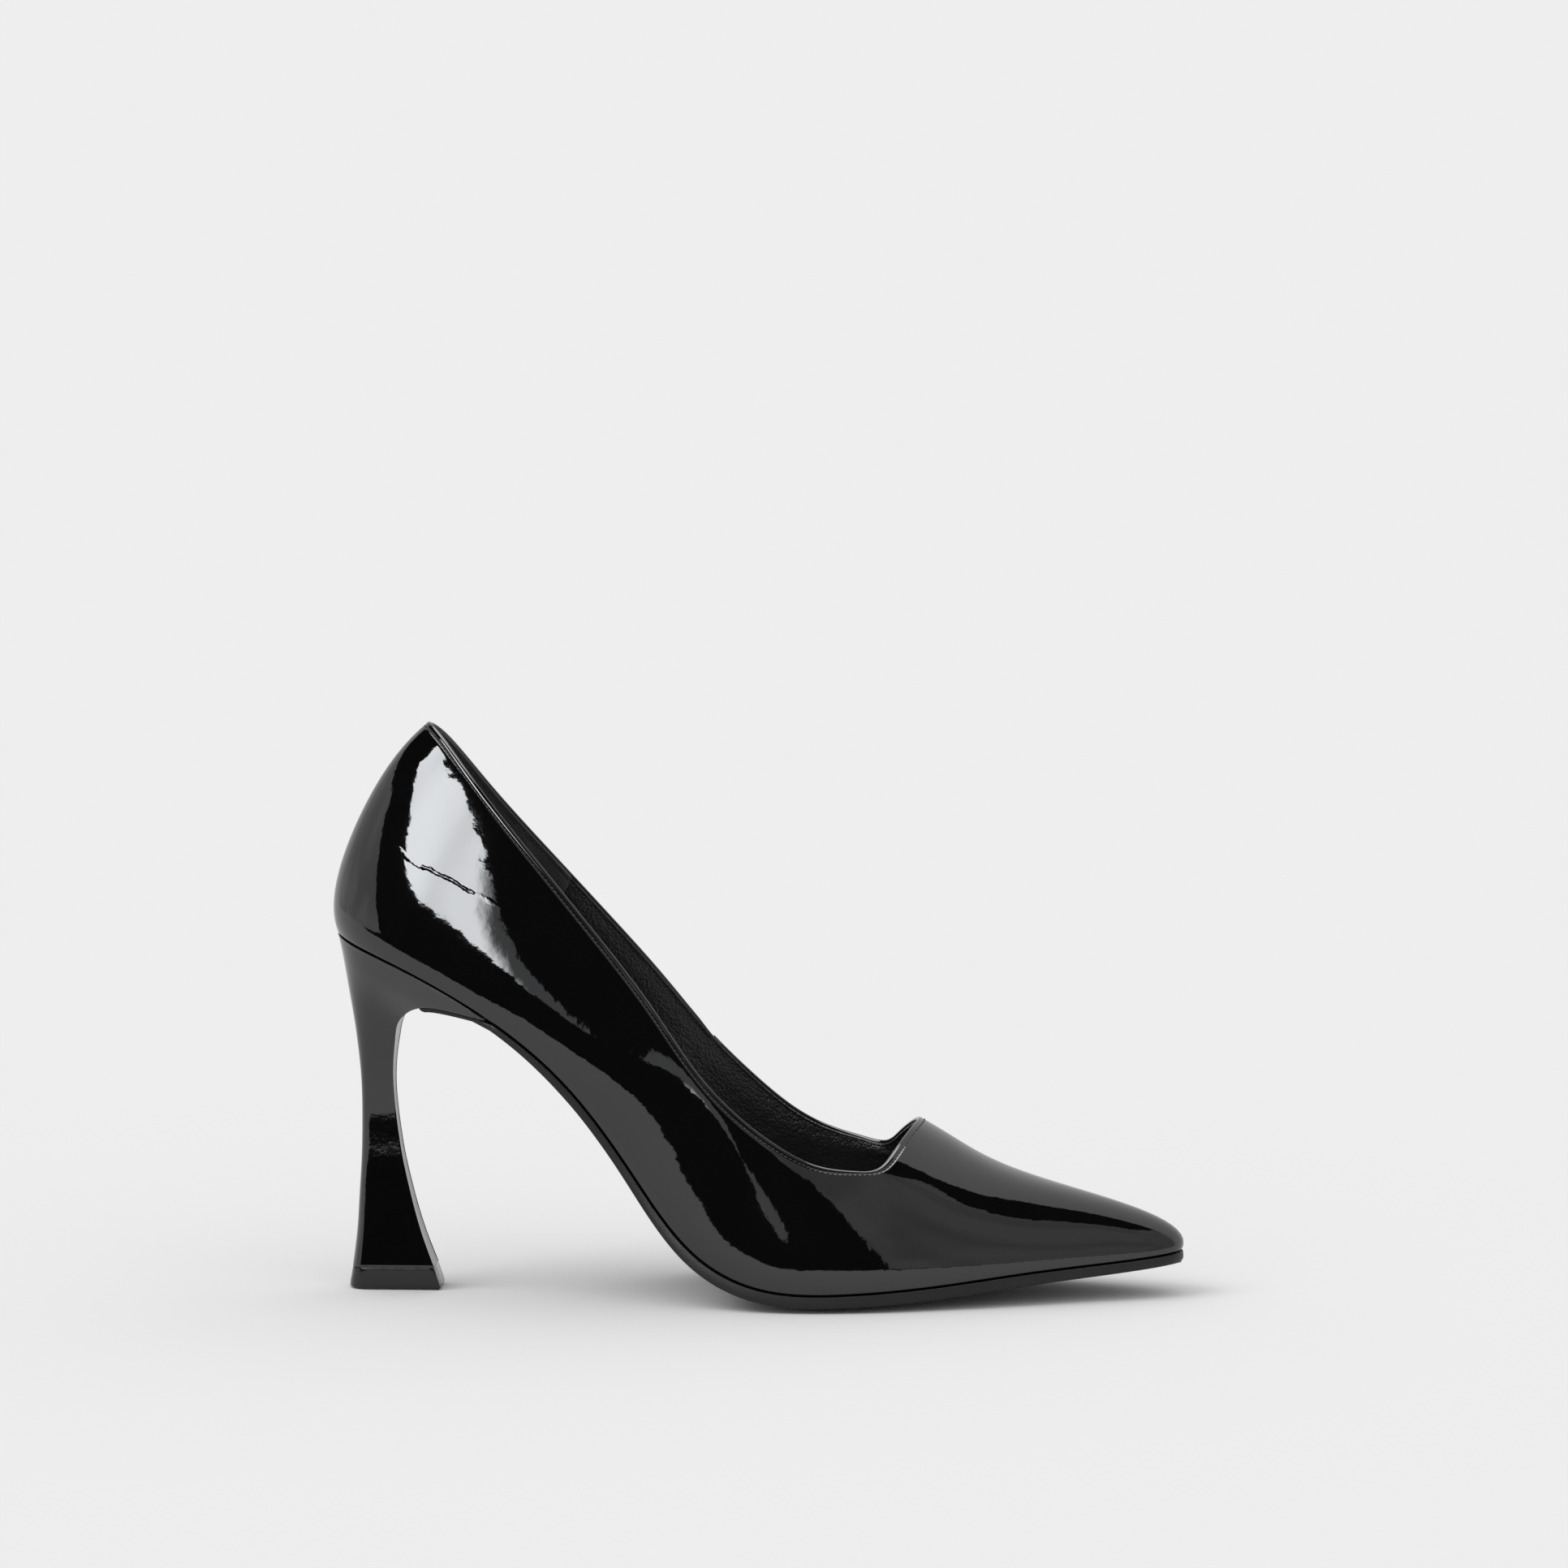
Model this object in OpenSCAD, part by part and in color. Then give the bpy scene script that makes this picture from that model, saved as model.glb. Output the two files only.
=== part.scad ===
// High heel pump, right foot. Millimetres.
// Origin: centre of the heel tip's bottom face, on the floor.
// +X runs to the toe, +Z up, +Y to the inner (medial) side of the foot.

/* [Part] */
// Which piece to draw

/* [Overall] */
// Heel back to toe tip, along the floor
shoe_length = 225; // [180:1:280]
// Width across the ball, upper at its widest
ball_width = 75; // [58:1:95]
// Height of the heel seat's back edge above the floor
heel_height = 95; // [60:1:120]

/* [Heel] */
// Heel tip, front to back, at the floor
tip_length = 24.6; // [16:0.1:34]
// Heel tip, side to side
tip_width = 11.8; // [8.6:0.1:18]
// Narrowest front to back size of the stem
waist_depth = 8.9; // [7.4:0.1:16]
// Narrowest side to side size of the stem
waist_width = 7.6; // [6.8:0.1:16]
// Height of the replaceable top piece
top_piece_height = 5.6; // [3:0.1:9]
// Leather wrapped round the heel
wrap_thickness = 0.5; // [0.3:0.05:1.2]
// Outside diameter of the steel tube in the stem
pin_od = 4.1; // [3.6:0.1:5.2]
// Bore of the steel tube
pin_bore = 2.6; // [2:0.1:3.4]
// Height of the tube's upper end above the floor, as a share of heel_height
pin_top_share = 0.75; // [0.4:0.01:0.8]
// Radial clearance between the top piece's dowel and the tube
dowel_fit = 0.05; // [0.02:0.01:0.3]
// Dowel length above the top piece
dowel_reach = 16; // [8:0.5:30]
// Heel screw thread diameter
screw_d = 3.9; // [3:0.1:5]
// Heel screw length under the head
screw_length = 17; // [10:0.5:22]
// Heel nail diameter
nail_d = 1.8; // [1.2:0.1:2.6]
// Heel nail length
nail_length = 8; // [6:0.5:14]

/* [Upper] */
// Outer leather
leather_thickness = 1.0; // [0.6:0.1:1.6]
// Counter, toe puff, interlining and tape
stiffener_thickness = 0.8; // [0.4:0.1:1.4]
// Lining leather
lining_thickness = 0.8; // [0.5:0.1:1.4]
// Width of the topline tape
tape_width = 5; // [3:0.5:8]
// Stitch row, distance below the topline
stitch_margin = 1.7; // [1:0.1:4]
// Sewing thread diameter
thread_d = 0.4; // [0.2:0.05:0.8]
// How far up the back quarters the counter reaches, share of the round
counter_reach = 0.3; // [0.15:0.01:0.4]
// How far back the toe puff reaches, share of the round
puff_reach = 0.17; // [0.08:0.01:0.25]

/* [Bottom] */
// Outsole thickness under the ball
sole_tread = 3.2; // [2:0.1:6]
// Outsole thickness at the waist
sole_waist = 2.2; // [1.2:0.1:4]
// Outsole thickness of the flap on the heel breast
sole_flap = 1.4; // [0.8:0.1:3]
// Insole board
board_thickness = 1.8; // [1.2:0.1:3]
// Cushion under the sock
foam_thickness = 1.5; // [0.8:0.1:3]
// Sock leather
sock_thickness = 0.8; // [0.4:0.1:1.5]
// Steel shank, side to side
shank_width = 9; // [6:0.5:14]
// Steel shank, thickness
shank_thickness = 1.2; // [0.8:0.1:1.6]
// Shank rivet diameter
rivet_d = 3; // [2:0.1:4]

/* [Fits] */
// Glue line between layers
gap = 0.1; // [0.05:0.01:0.3]
// Radial clearance round screws, nails, rivets and the tube
hole_fit = 0.05; // [0.02:0.01:0.3]

/* [Hidden] */
kx = shoe_length/225;
ky = ball_width/75;
kz = heel_height/95;
dh = heel_height-95;
per_side = 36;                       // columns on each side of the round
lt = leather_thickness;
m0 = lt+gap;                         // middle layer, outer face
m1 = m0+stiffener_thickness;
l0 = m1+gap;                         // lining, outer face
l1 = l0+lining_thickness;
fl0 = lt+gap;                        // lining margin under the insole
fl1 = fl0+lining_thickness;
b0 = fl1+2*gap;                        // insole board
b1 = b0+board_thickness;
c0 = b1+gap;                         // foam
c1 = c0+foam_thickness;
k0 = c1+gap;                         // sock over the foam
k0t = b1+gap;                        // sock past the foam, at the toe

function smooth(t) = let(u=max(0,min(1,t))) u*u*(3-2*u);
function unit(v) = v/norm(v);
function lerp(a,b,t) = a+(b-a)*t;
function lift(x) = dh*smooth((100-x)/100);

// Feather line (where wall and sole meet): x, half width, z from heel back to toe.
feather_pts = [[-17.5,0,96],[-11,14,93],[2,21.6,88.5],[21.5,25.7,78.5],[38.5,26.4,66.5],
  [52,25.5,52.5],[64.5,24,34],[79,31.1,13],[98.5,38.5,4.2],[121,38,4.4],[144,32,5.8],
  [167.5,23,8.5],[189,14,9.7],[205.5,8.5,11.2],[210,0,11.7]];
// Half widths of the same line on the inner side: tighter waist, ball further forward.
feather_in = [0,14,21.8,25.3,23,19.5,18.5,27,36,38,34,25.5,16,9,0];
// Topline from heel back to throat.
top_pts = [[7.5,0,152],[12.5,7.2,149.5],[24,17.1,134.5],[41.5,20.8,114],[55.5,22.6,97],
  [69.5,25.9,80],[81,29.2,62],[92,31.5,51],[103.5,31.5,42.5],[113,31.5,37.5],[122.5,30.5,36.5],
  [129.5,29,36],[133,22.5,41],[137.5,11,46],[139.5,0,47]];
// Height of the inner topline over the outer one.
top_in = [0,-0.5,-2.5,-1.5,0,1,3.5,3.5,2,2,0.5,-1,-1,-1,0];
// How the wall leaves the feather line, bellies out, and arrives at the topline.
low_pull = [[-6.4,0,13.4],[-4.2,2.5,12.1],[-1.5,2.9,11.2],[0,2.3,9.8],[0.5,4.2,9.9],
  [0.5,6.1,9.2],[0.5,5.2,8.6],[0.5,2.9,8.3],[0.5,1.7,8.3],[0.8,0.8,8.7],[2.3,0.3,10],
  [4.5,-0.3,10],[5,-0.6,10.2],[4.8,-0.4,11],[8.4,0,14]];
mid_pull = [[-4.8,0,7],[-3.5,1.5,5],[-2,2.3,3],[-1,1.8,1],[0,2.6,0],[0,3.9,0],[0,3.7,0],
  [0,2.4,0],[1,1.6,0],[2.6,1.9,1],[1.5,0.5,3],[-8.3,1.1,4.5],[-16.6,2.1,4.4],[-19,0.9,2.5],
  [-19.7,0,0.5]];
top_pull = [[-15.5,0,-10.5],[-9,3.5,-11.5],[-5,3.3,-11],[-3.5,2.6,-9.5],[-3,2.4,-8],
  [-2.5,2.1,-7],[-2,1.9,-7],[-1,2.5,-7],[1,2.6,-7],[4,2.8,-7.2],[8.8,0.4,-5.5],[15.6,-2.1,-6.4],
  [21.2,-2.7,-9.7],[22.4,-1,-11.9],[23,0,-12.5]];

function scaled(L) = [for (p=L) [p[0]*kx, p[1]*ky, p[2]+lift(p[0])]];
function pulls(L) = [for (p=L) [p[0]*kx, p[1]*ky, p[2]]];
last_i = len(feather_pts)-1;
fea_out = scaled(feather_pts);
fea_inn = scaled([for (i=[0:last_i]) [feather_pts[i][0], feather_in[i], feather_pts[i][2]]]);
top_out = scaled(top_pts);
top_inn = scaled([for (i=[0:last_i]) [top_pts[i][0], top_pts[i][1], top_pts[i][2]+top_in[i]]]);
lowp = pulls(low_pull);
midp = pulls(mid_pull);
topp = pulls(top_pull);

// Smooth curve through a control list; mirrored past both ends so it closes square on.
function ghost(L,k) = let(n=len(L)-1)
  k<0 ? [L[-k][0],-L[-k][1],L[-k][2]] : k>n ? [L[2*n-k][0],-L[2*n-k][1],L[2*n-k][2]] : L[k];
function curve(L,s) = let(n=len(L)-1, x=s*n, i=max(0,min(floor(x),n-1)), f=x-i)
  (ghost(L,i-1)*pow(1-f,3) + ghost(L,i)*(3*f*f*f-6*f*f+4)
   + ghost(L,i+1)*(-3*f*f*f+3*f*f+3*f+1) + ghost(L,i+2)*f*f*f)/6;

// side: -1 outer (lateral), +1 inner (medial).
function fea(s,side) = curve(side<0 ? fea_out : fea_inn, s);
function flip(p,side) = [p[0],side*p[1],p[2]];
function wall0(s,v,side) = let(F=fea(s,side), G=curve(side<0 ? top_out : top_inn, s),
    A=F+curve(lowp,s), B=(F+G)/2+curve(midp,s), C=G+curve(topp,s), u=1-v)
  flip(F*pow(u,4) + A*4*v*pow(u,3) + B*6*v*v*u*u + C*4*v*v*v*u + G*pow(v,4), side);
// t runs round the shoe: 0 heel back, -1..0 outer side, 0..1 inner side.
function wrap_t(t) = t>1 ? t-2 : t<-1 ? t+2 : t;
function side_of(t) = wrap_t(t)<0 ? -1 : 1;
function wall_at(t,v) = wall0(abs(wrap_t(t)),v,side_of(t));
function wall_n(t,v) = let(e=0.004, va=max(0,v-e), vb=min(1,v+e))
  unit(cross(wall_at(t,vb)-wall_at(t,va), wall_at(t+e,v)-wall_at(t-e,v)));
function layer(t,v,off) = wall_at(t,v)-wall_n(t,v)*off;
function v_below(t,d) = 1-d/(4*norm(curve(topp,abs(wrap_t(t)))));

// Bottom surface: straight across, shaped along the length.
function bottom_n(s) = let(q=max(0.04,min(0.97,s)), a=fea(q-0.01,-1), b=fea(q+0.01,-1), d=b-a)
  unit([-d[2],0,d[0]]);
// Point on the bottom, inset from the outline by d and raised by h.
function bottom_edge(t,d,h) = let(s=abs(wrap_t(t)), side=side_of(t), e=0.004,
    F=flip(fea(s,side),side),
    F1=wrap_fea(t+e), F0=wrap_fea(t-e), n=bottom_n(s), dir=unit(cross(n,F0-F1)))
  F+dir*d+n*h;
function wrap_fea(t) = flip(fea(abs(wrap_t(t)),side_of(t)),side_of(t));
// Inner zone of the bottom, inside the lasting margin.
function margin_edge(t,e,k,h) = let(s=abs(wrap_t(t)), side=side_of(t), q=e+(1-2*e)*s, P=fea(q,side),
    Y=fea(s,side)[1], n=bottom_n(q)) [P[0],side*Y*k,P[2]]+n*h;
// Corner where wall layer `w` meets bottom layer `h`.
function corner(t,w,h) = let(s=abs(wrap_t(t)), a=-wall_n(t,0.002), b=bottom_n(s), c=a*b,
    k=1-c*c, F=wrap_fea(t)) F+a*((w-c*h)/k)+b*((h-c*w)/k);

// ---- solids from columns and rings -------------------------------------
function tri(a,b,c,d) = [[a,b,c],[a,c,d]];
function quads(L) = [for (q=L) each tri(q[0],q[1],q[2],q[3])];
// outer[i][k], inner[i][k]: a skin of columns, closed round or with end caps.
module skin(outer,inner,closed=false) {
  nc=len(outer); m=len(outer[0]); step=2*m;
  pts=[for (i=[0:nc-1]) each concat(outer[i],inner[i])];
  lastc=closed ? nc-1 : nc-2;
  f=quads([for (i=[0:lastc]) let(a=i*step, b=((i+1)%nc)*step) each concat(
      [for (k=[0:m-2]) [a+k,b+k,b+k+1,a+k+1]],
      [for (k=[0:m-2]) [a+m+k,a+m+k+1,b+m+k+1,b+m+k]],
      [[a+m-1,b+m-1,b+2*m-1,a+2*m-1]],
      [[a+m,b+m,b,a]])]);
  caps=closed ? [] : quads(concat(
      [for (k=[0:m-2]) [k,k+1,m+k+1,m+k]],
      [for (k=[0:m-2]) let(z=(nc-1)*step) [z+m+k,z+m+k+1,z+k+1,z+k]]));
  polyhedron(points=pts, faces=concat(f,caps), convexity=12);
}
// Rings joined in order; each end closed by a strip between mirrored points.
module loft(rings) {
  nr=len(rings); m=len(rings[0]); pts=[for (r=rings) each r];
  side=quads([for (i=[0:nr-2]) for (k=[0:m-1])
      [i*m+k, i*m+(k+1)%m, (i+1)*m+(k+1)%m, (i+1)*m+k]]);
  h=floor(m/2);
  function strip(o) = m%2==1
    ? concat(quads([for (k=[0:h-2]) [o+k,o+m-1-k,o+m-2-k,o+k+1]]), [[o+h-1,o+h+1,o+h]])
    : quads([for (k=[0:h-2]) [o+k,o+m-1-k,o+m-2-k,o+k+1]]);
  flip_last=[for (t=strip((nr-1)*m)) [t[2],t[1],t[0]]];
  polyhedron(points=pts, faces=concat(side,strip(0),flip_last), convexity=12);
}
// Columns from t=a down to t=b on the shared grid, so that stacked layers share facets.
function cols(a,b) = concat([a],[for (k=[ceil(a*per_side-0.08)-1:-1:floor(b*per_side+0.08)+1]) k/per_side],[b]);
function span(a,b,n) = [for (i=[0:n]) a+(b-a)*i/n];
round_t = [for (i=[0:2*per_side-1]) -1+i/per_side];
wall_v = [0.035,0.08,0.14,0.21,0.3,0.43,0.58,0.74,0.88,1];

// Wall layer with its margin turned in under the insole.
module lasted(ts,w0,w1,h0,h1,vtop=1,closed=false) {
  v=[for (a=wall_v) if (a<vtop-0.02) a];
  skin([for (t=ts) concat([margin_edge(t,0.07,0.55,h0), corner(t,w0,h0)],
          [for (a=v) layer(t,a,w0)], [layer(t,vtop,w0)])],
       [for (t=ts) concat([margin_edge(t,0.07,0.55,h1), corner(t,w1,h1)],
          [for (a=v) layer(t,a,w1)], [layer(t,vtop,w1)])], closed);
}
// Wall layer between two heights, no margin. `hi` is in mm below the topline.
mid_v = [0.08,0.14,0.21,0.3,0.43,0.58,0.74];
module between(ts,w0,w1,hi,closed=false) {
  function vs(t) = let(top=v_below(t,hi)) concat([for (a=mid_v) min(a,top-0.05+a*0.03)],[top]);
  skin([for (t=ts) [for (a=vs(t)) layer(t,a,w0)]],
       [for (t=ts) [for (a=vs(t)) layer(t,a,w1)]], closed);
}

/* ---------------- heel ---------------- */
seat_end = 0.235;
stem_z = [top_piece_height+gap,14.9,24.8,38,54,67.4,80.3,90,95];
flare = [0.85,0.56,0.34,0.115,0,0.11,0.36,1,1];
function depth_at(i) = waist_depth+(tip_length-waist_depth)*flare[i];
centre_x = [-0.85,-1.95,-3,-4.05,-4.95];
// The heel's upper block hangs from the seat; the stem takes most of a height change.
function block_z(z) = heel_height-(95-z)*sqrt(kz);
// Back line and breast edge, tip to seat.
heel_back = [for (i=[0:8]) i<5
  ? [centre_x[i]-depth_at(i)/2, 0, i==0 ? stem_z[0] : stem_z[i]*kz]
  : [[-10.6,-12.6,-14.3][min(i-5,2)]*kx-(waist_depth-8.9)/2*(i==5?1:0), 0, block_z(stem_z[i])]];
breast_x = [0.1,2.2,10];
breast_z = [65.5,73,77];
breast_w = [6.3,10.5,18.5];
heel_breast = [for (i=[0:8]) i<5
  ? [centre_x[i]+depth_at(i)/2,
     lerp(waist_width/2, tip_width/2, [1,0.63,0.28,0,0.02][i]),
     i==0 ? stem_z[0] : stem_z[i]*kz]
  : [breast_x[min(i-5,2)]*kx, max(breast_w[min(i-5,2)]*ky, waist_width/2+0.8), block_z(breast_z[min(i-5,2)])]];
function seat_pt(q,side) = fea(seat_end*q,side)-bottom_n(seat_end*q)*(3*gap);
function knots(L,i) = L[max(0,min(len(L)-1,i))];
function through(L,r) = let(n=len(L)-1, x=r*n, i=max(0,min(floor(x),n-1)), f=x-i,
    p0=knots(L,i-1), p1=knots(L,i), p2=knots(L,i+1), p3=knots(L,i+2))
  p1+(p2-p0)*(f/2)+(p0*2-p1*5+p2*4-p3)*(f*f/2)+(p1*3-p0-p2*3+p3)*(f*f*f/2);
back_l = [for (i=[0:8]) i<8 ? heel_back[i] : seat_pt(0,-1)];
breast_l = [for (i=[0:8]) i<8 ? heel_breast[i] : seat_pt(1,-1)];
// r: 0 tip to 1 seat. q: 0 back to 1 breast edge.
function heel_pt(r,q,side) = let(b=through(back_l,r), e=through(breast_l,r),
    w=r>=1 ? 1 : smooth((r-0.58)/0.42), S0=seat_pt(0,side), S1=seat_pt(1,side), S=seat_pt(q,side),
    rd=min(0.6,e[1]/(e[0]-b[0])), k=0.62,
    fx=q<k ? rd*(1-cos(90*q/k)) : rd+(1-rd)*(q-k)/(1-k),
    fy=q<k ? pow(sin(90*q/k),0.9) : 1,
    sx=(S[0]-S0[0])/(S1[0]-S0[0]), sy=S[1]/S1[1], sz=(S[2]-S0[2])/(S1[2]-S0[2]),
    X=lerp(fx,sx,w), Y=lerp(fy,sy,w), Z=lerp(fx,sz,w))
  [lerp(b[0],e[0],X), side*e[1]*Y*lerp(1,S1[1]/seat_pt(1,-1)[1],w), lerp(b[2],e[2],Z)];
function heel_at(r,p) = heel_pt(r,abs(p),p<0 ? -1 : 1);
function heel_n(r,p) = let(e=0.004, ra=max(0,r-e), rb=min(1,r+e), pa=max(-1,p-e), pb=min(1,p+e))
  unit(cross(heel_at(rb,p)-heel_at(ra,p), heel_at(r,pb)-heel_at(r,pa)));
function breast_n(r) = let(e=0.01, d=heel_at(min(1,r+e),1)-heel_at(max(0,r-e),1)) unit([d[2],0,-d[0]]);
// Surface moved in by `o`; the breast edge keeps its corner.
function heel_off(r,p,o) = let(n=heel_n(r,p), P=heel_at(r,p)-n*o)
  abs(p)<0.99 ? P : let(a=-n, b=-breast_n(r), c=a*b, k=max(0.15,1-c*c), Q=(a+b)*(o*(1-c)/k)) heel_at(r,p)+Q;
function level(P,z) = [P[0],P[1],z];
heel_r = [0,0.06,0.125,0.19,0.25,0.33,0.42,0.5,0.57,0.64,0.71,0.77,0.83,0.88,0.93,0.97];
heel_p = span(-1,1,24);
axis_tilt = atan((centre_x[0]-centre_x[4])/(stem_z[4]*kz-stem_z[0]));
axis_x0 = centre_x[0]+0.05+tan(axis_tilt)*stem_z[0];
module on_axis(z) translate([axis_x0-z*tan(axis_tilt),0,z]) rotate([0,-axis_tilt,0]) children();
pin_top = heel_height*pin_top_share;

// Frame on the bottom surface at station s, offset y across.
module on_seat(s,y,h=0) { P=fea(s,-1); n=bottom_n(s);
  translate([P[0],y,P[2]]+n*h) rotate([0,atan2(n[0],n[2]),0]) children(); }
screw_s = 0.15;
screw_l = screw_length*kz;           // fasteners shorten with the block they hold
nail_l = nail_length*kz;
nail_at = [[0.155,-7.2],[0.155,7.2],[0.187,-8.5],[0.187,8.5]];
rivet_s = [0.25,0.425];

module heel_core() color("DimGray") difference() {
  o=wrap_thickness+gap;
  top=[for (p=heel_p) let(q=abs(p), sd=p<0?-1:1, P=flip(seat_pt(q,sd),sd), D=heel_off(0.97,p,o))
        [lerp(P[0],D[0],0.6)+(q<0.5?0.2:0), lerp(P[1],D[1],0.6), P[2]-0.25]];
  loft(concat([for (r=heel_r) [for (p=heel_p) let(P=heel_off(r,p,o)) r==0 ? level(P,stem_z[0]) : P]],[top]));
  on_axis(0) cylinder(d=pin_od+2*hole_fit, h=pin_top+0.6, $fn=48);
  on_seat(screw_s,0,b1) translate([0,0,-screw_l-0.5]) cylinder(d=screw_d+2*hole_fit, h=screw_l+2, $fn=36);
  for (a=nail_at) on_seat(a[0],a[1]*ky,b1) translate([0,0,-nail_l-0.3]) cylinder(d=nail_d+2*hole_fit, h=nail_l+2, $fn=24);
}
module heel_cover() color("Black")
  skin([for (p=heel_p) [for (r=concat(heel_r,[1])) let(P=heel_off(r,p,0)) r==0 ? level(P,stem_z[0]) : P]],
       [for (p=heel_p) [for (r=concat(heel_r,[1])) let(P=heel_off(r,p*0.998,wrap_thickness)) r==0 ? level(P,stem_z[0]) : P]]);
function face(r,y,o) = let(P=heel_at(r,1)-breast_n(r)*o) [P[0],y,r==0 ? stem_z[0] : P[2]];
module breast_cover() color([0.06,0.06,0.07]) {
  rs=[for (r=heel_r) if (r<0.8) r];
  w=[for (r=rs) max(1,heel_off(r,1,wrap_thickness+gap)[1])];
  skin([for (k=[1,0.33,-0.33,-1]) [for (i=[0:len(rs)-1]) face(rs[i],w[i]*k,0)]],
       [for (k=[1,0.33,-0.33,-1]) [for (i=[0:len(rs)-1]) face(rs[i],w[i]*k,wrap_thickness)]]);
}
module heel_pin() color("Silver") on_axis(stem_z[0]+0.5) difference() {
  cylinder(d=pin_od, h=pin_top-stem_z[0]-0.5, $fn=48);
  translate([0,0,-1]) cylinder(d=pin_bore, h=pin_top, $fn=36);
}
function ring(z,g) = [for (p=heel_p) let(P=heel_at(0,p), c=centre_x[0]+0.45*(1-z/top_piece_height))
    [c+(P[0]-centre_x[0])*(1+g), P[1]*(1+g*0.3), z]];
module top_piece() color([0.12,0.12,0.12]) difference() {
  k=tip_length/depth_at(0)-1;
  loft([ring(0,k-0.02), ring(0.5,k), ring(top_piece_height*0.55,k*0.5), ring(top_piece_height,0)]);
  on_axis(1.2) cylinder(d=pin_bore-2*dowel_fit+2*hole_fit, h=top_piece_height+2, $fn=36);
}
module top_piece_dowel() color("Gainsboro") on_axis(1.3)
  cylinder(d=pin_bore-2*dowel_fit, h=top_piece_height+dowel_reach, $fn=36);
module heel_screw() color("Silver") on_seat(screw_s,0,b1) {
  translate([0,0,-screw_l]) cylinder(d=screw_d, h=screw_l-1.5, $fn=36);
  translate([0,0,-1.6]) cylinder(d=7, h=1.5, $fn=36);
}
module heel_nails() color("LightSteelBlue") for (a=nail_at) on_seat(a[0],a[1]*ky,b1) {
  translate([0,0,-nail_l]) cylinder(d=nail_d, h=nail_l-0.7, $fn=24);
  translate([0,0,-0.8]) cylinder(d=nail_d*2, h=0.7, $fn=24);
}

/* ---------------- upper ---------------- */
seam_t = 0.44;                       // medial waist seam
lining_seam = 0.235;                 // lining joins the heel grip here
module upper_main() color("Black")
  lasted(cols(-0.0015,seam_t-2+0.0015), 0, lt, 0, lt);
module upper_medial_quarter() color([0.05,0.05,0.06])
  lasted(cols(seam_t-0.0015,0.0015), 0, lt, 0, lt);
module vamp_lining() color([0.2,0.19,0.19])
  lasted(cols(-lining_seam-0.002,lining_seam-2+0.002), l0, l1, fl0, fl1);
module heel_grip() color([0.24,0.22,0.21])
  lasted(cols(lining_seam,-lining_seam), l0, l1, fl0, fl1);
module heel_counter() color("Tan")
  between(cols(counter_reach,-counter_reach), m0, m1, tape_width+2.5);
module interlining() color("Ivory") for (sd=[-1,1]) { a=counter_reach+0.006; b=1-puff_reach-0.006;
  between(sd<0 ? cols(-a,-b) : cols(b,a), m0, m1, tape_width+2.5); }
puff_v = [0.08,0.14,0.21,0.3,0.43];
module toe_puff() color("Khaki")
  skin([for (t=cols(1+puff_reach,1-puff_reach)) [for (v=puff_v) layer(t,v,m0)]],
       [for (t=cols(1+puff_reach,1-puff_reach)) [for (v=puff_v) layer(t,v,m1)]]);
module topline_tape() color("White")
  skin([for (t=round_t) [for (d=[tape_width+1.5,(tape_width+2.5)/2,1]) layer(-t,v_below(t,d),m0+0.05)]],
       [for (t=round_t) [for (d=[tape_width+1.5,(tape_width+2.5)/2,1]) layer(-t,v_below(t,d),m1-0.05)]], true);
module thread_row(o) {
  function pt(t,d,off) = layer(-t,v_below(t,d),off);
  skin([for (t=round_t) [pt(t,stitch_margin+thread_d/2,o), pt(t,stitch_margin-thread_d/2,o)]],
       [for (t=round_t) [pt(t,stitch_margin+thread_d/2,o+thread_d*0.6), pt(t,stitch_margin-thread_d/2,o+thread_d*0.6)]], true);
}
module topline_stitching() color([0.15,0.15,0.15]) { thread_row(-0.1-thread_d*0.6); thread_row(l1+0.1); }

/* ---------------- bottom ---------------- */
function flat_ring(ts,d,h) = [for (t=ts) bottom_edge(t,d,h)];
function inner_ring(ts,h) = [for (t=ts) margin_edge(t,0.078,0.53,h)];
board_fit = 0.4;                     // insole board to lining
// How far in the lining's inner face stands at height h over the bottom.
function lining_in(t,h) = let(A=curve(lowp,abs(wrap_t(t))), n=bottom_n(abs(wrap_t(t))), F=wrap_fea(t))
  (layer(t,h/(4*(A*n)),l1)-F)*(bottom_edge(t,1,0)-F);
function board_edge(t,h) = bottom_edge(t,max(l1,lining_in(t,h))+board_fit,h);
module insole_board() color("BurlyWood") difference() {
  loft([[for (t=oval_ts(1)) board_edge(t,b0)],[for (t=oval_ts(1)) board_edge(t,b1)]]);
  on_seat(screw_s,0,b1) { translate([0,0,-3]) cylinder(d=screw_d+2*hole_fit,h=4,$fn=36); translate([0,0,-1.7]) cylinder(d=7.2,h=3,$fn=36); }
  for (a=nail_at) on_seat(a[0],a[1]*ky,b1) { translate([0,0,-3]) cylinder(d=nail_d+2*hole_fit,h=4,$fn=24); translate([0,0,-0.9]) cylinder(d=nail_d*2+0.2,h=2,$fn=24); }
  for (s=rivet_s) on_seat(s,0,b1) { translate([0,0,-3]) cylinder(d=rivet_d+2*hole_fit,h=4,$fn=24); translate([0,0,-0.7]) cylinder(d=rivet_d*2+0.2,h=2,$fn=24); }
}
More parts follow.
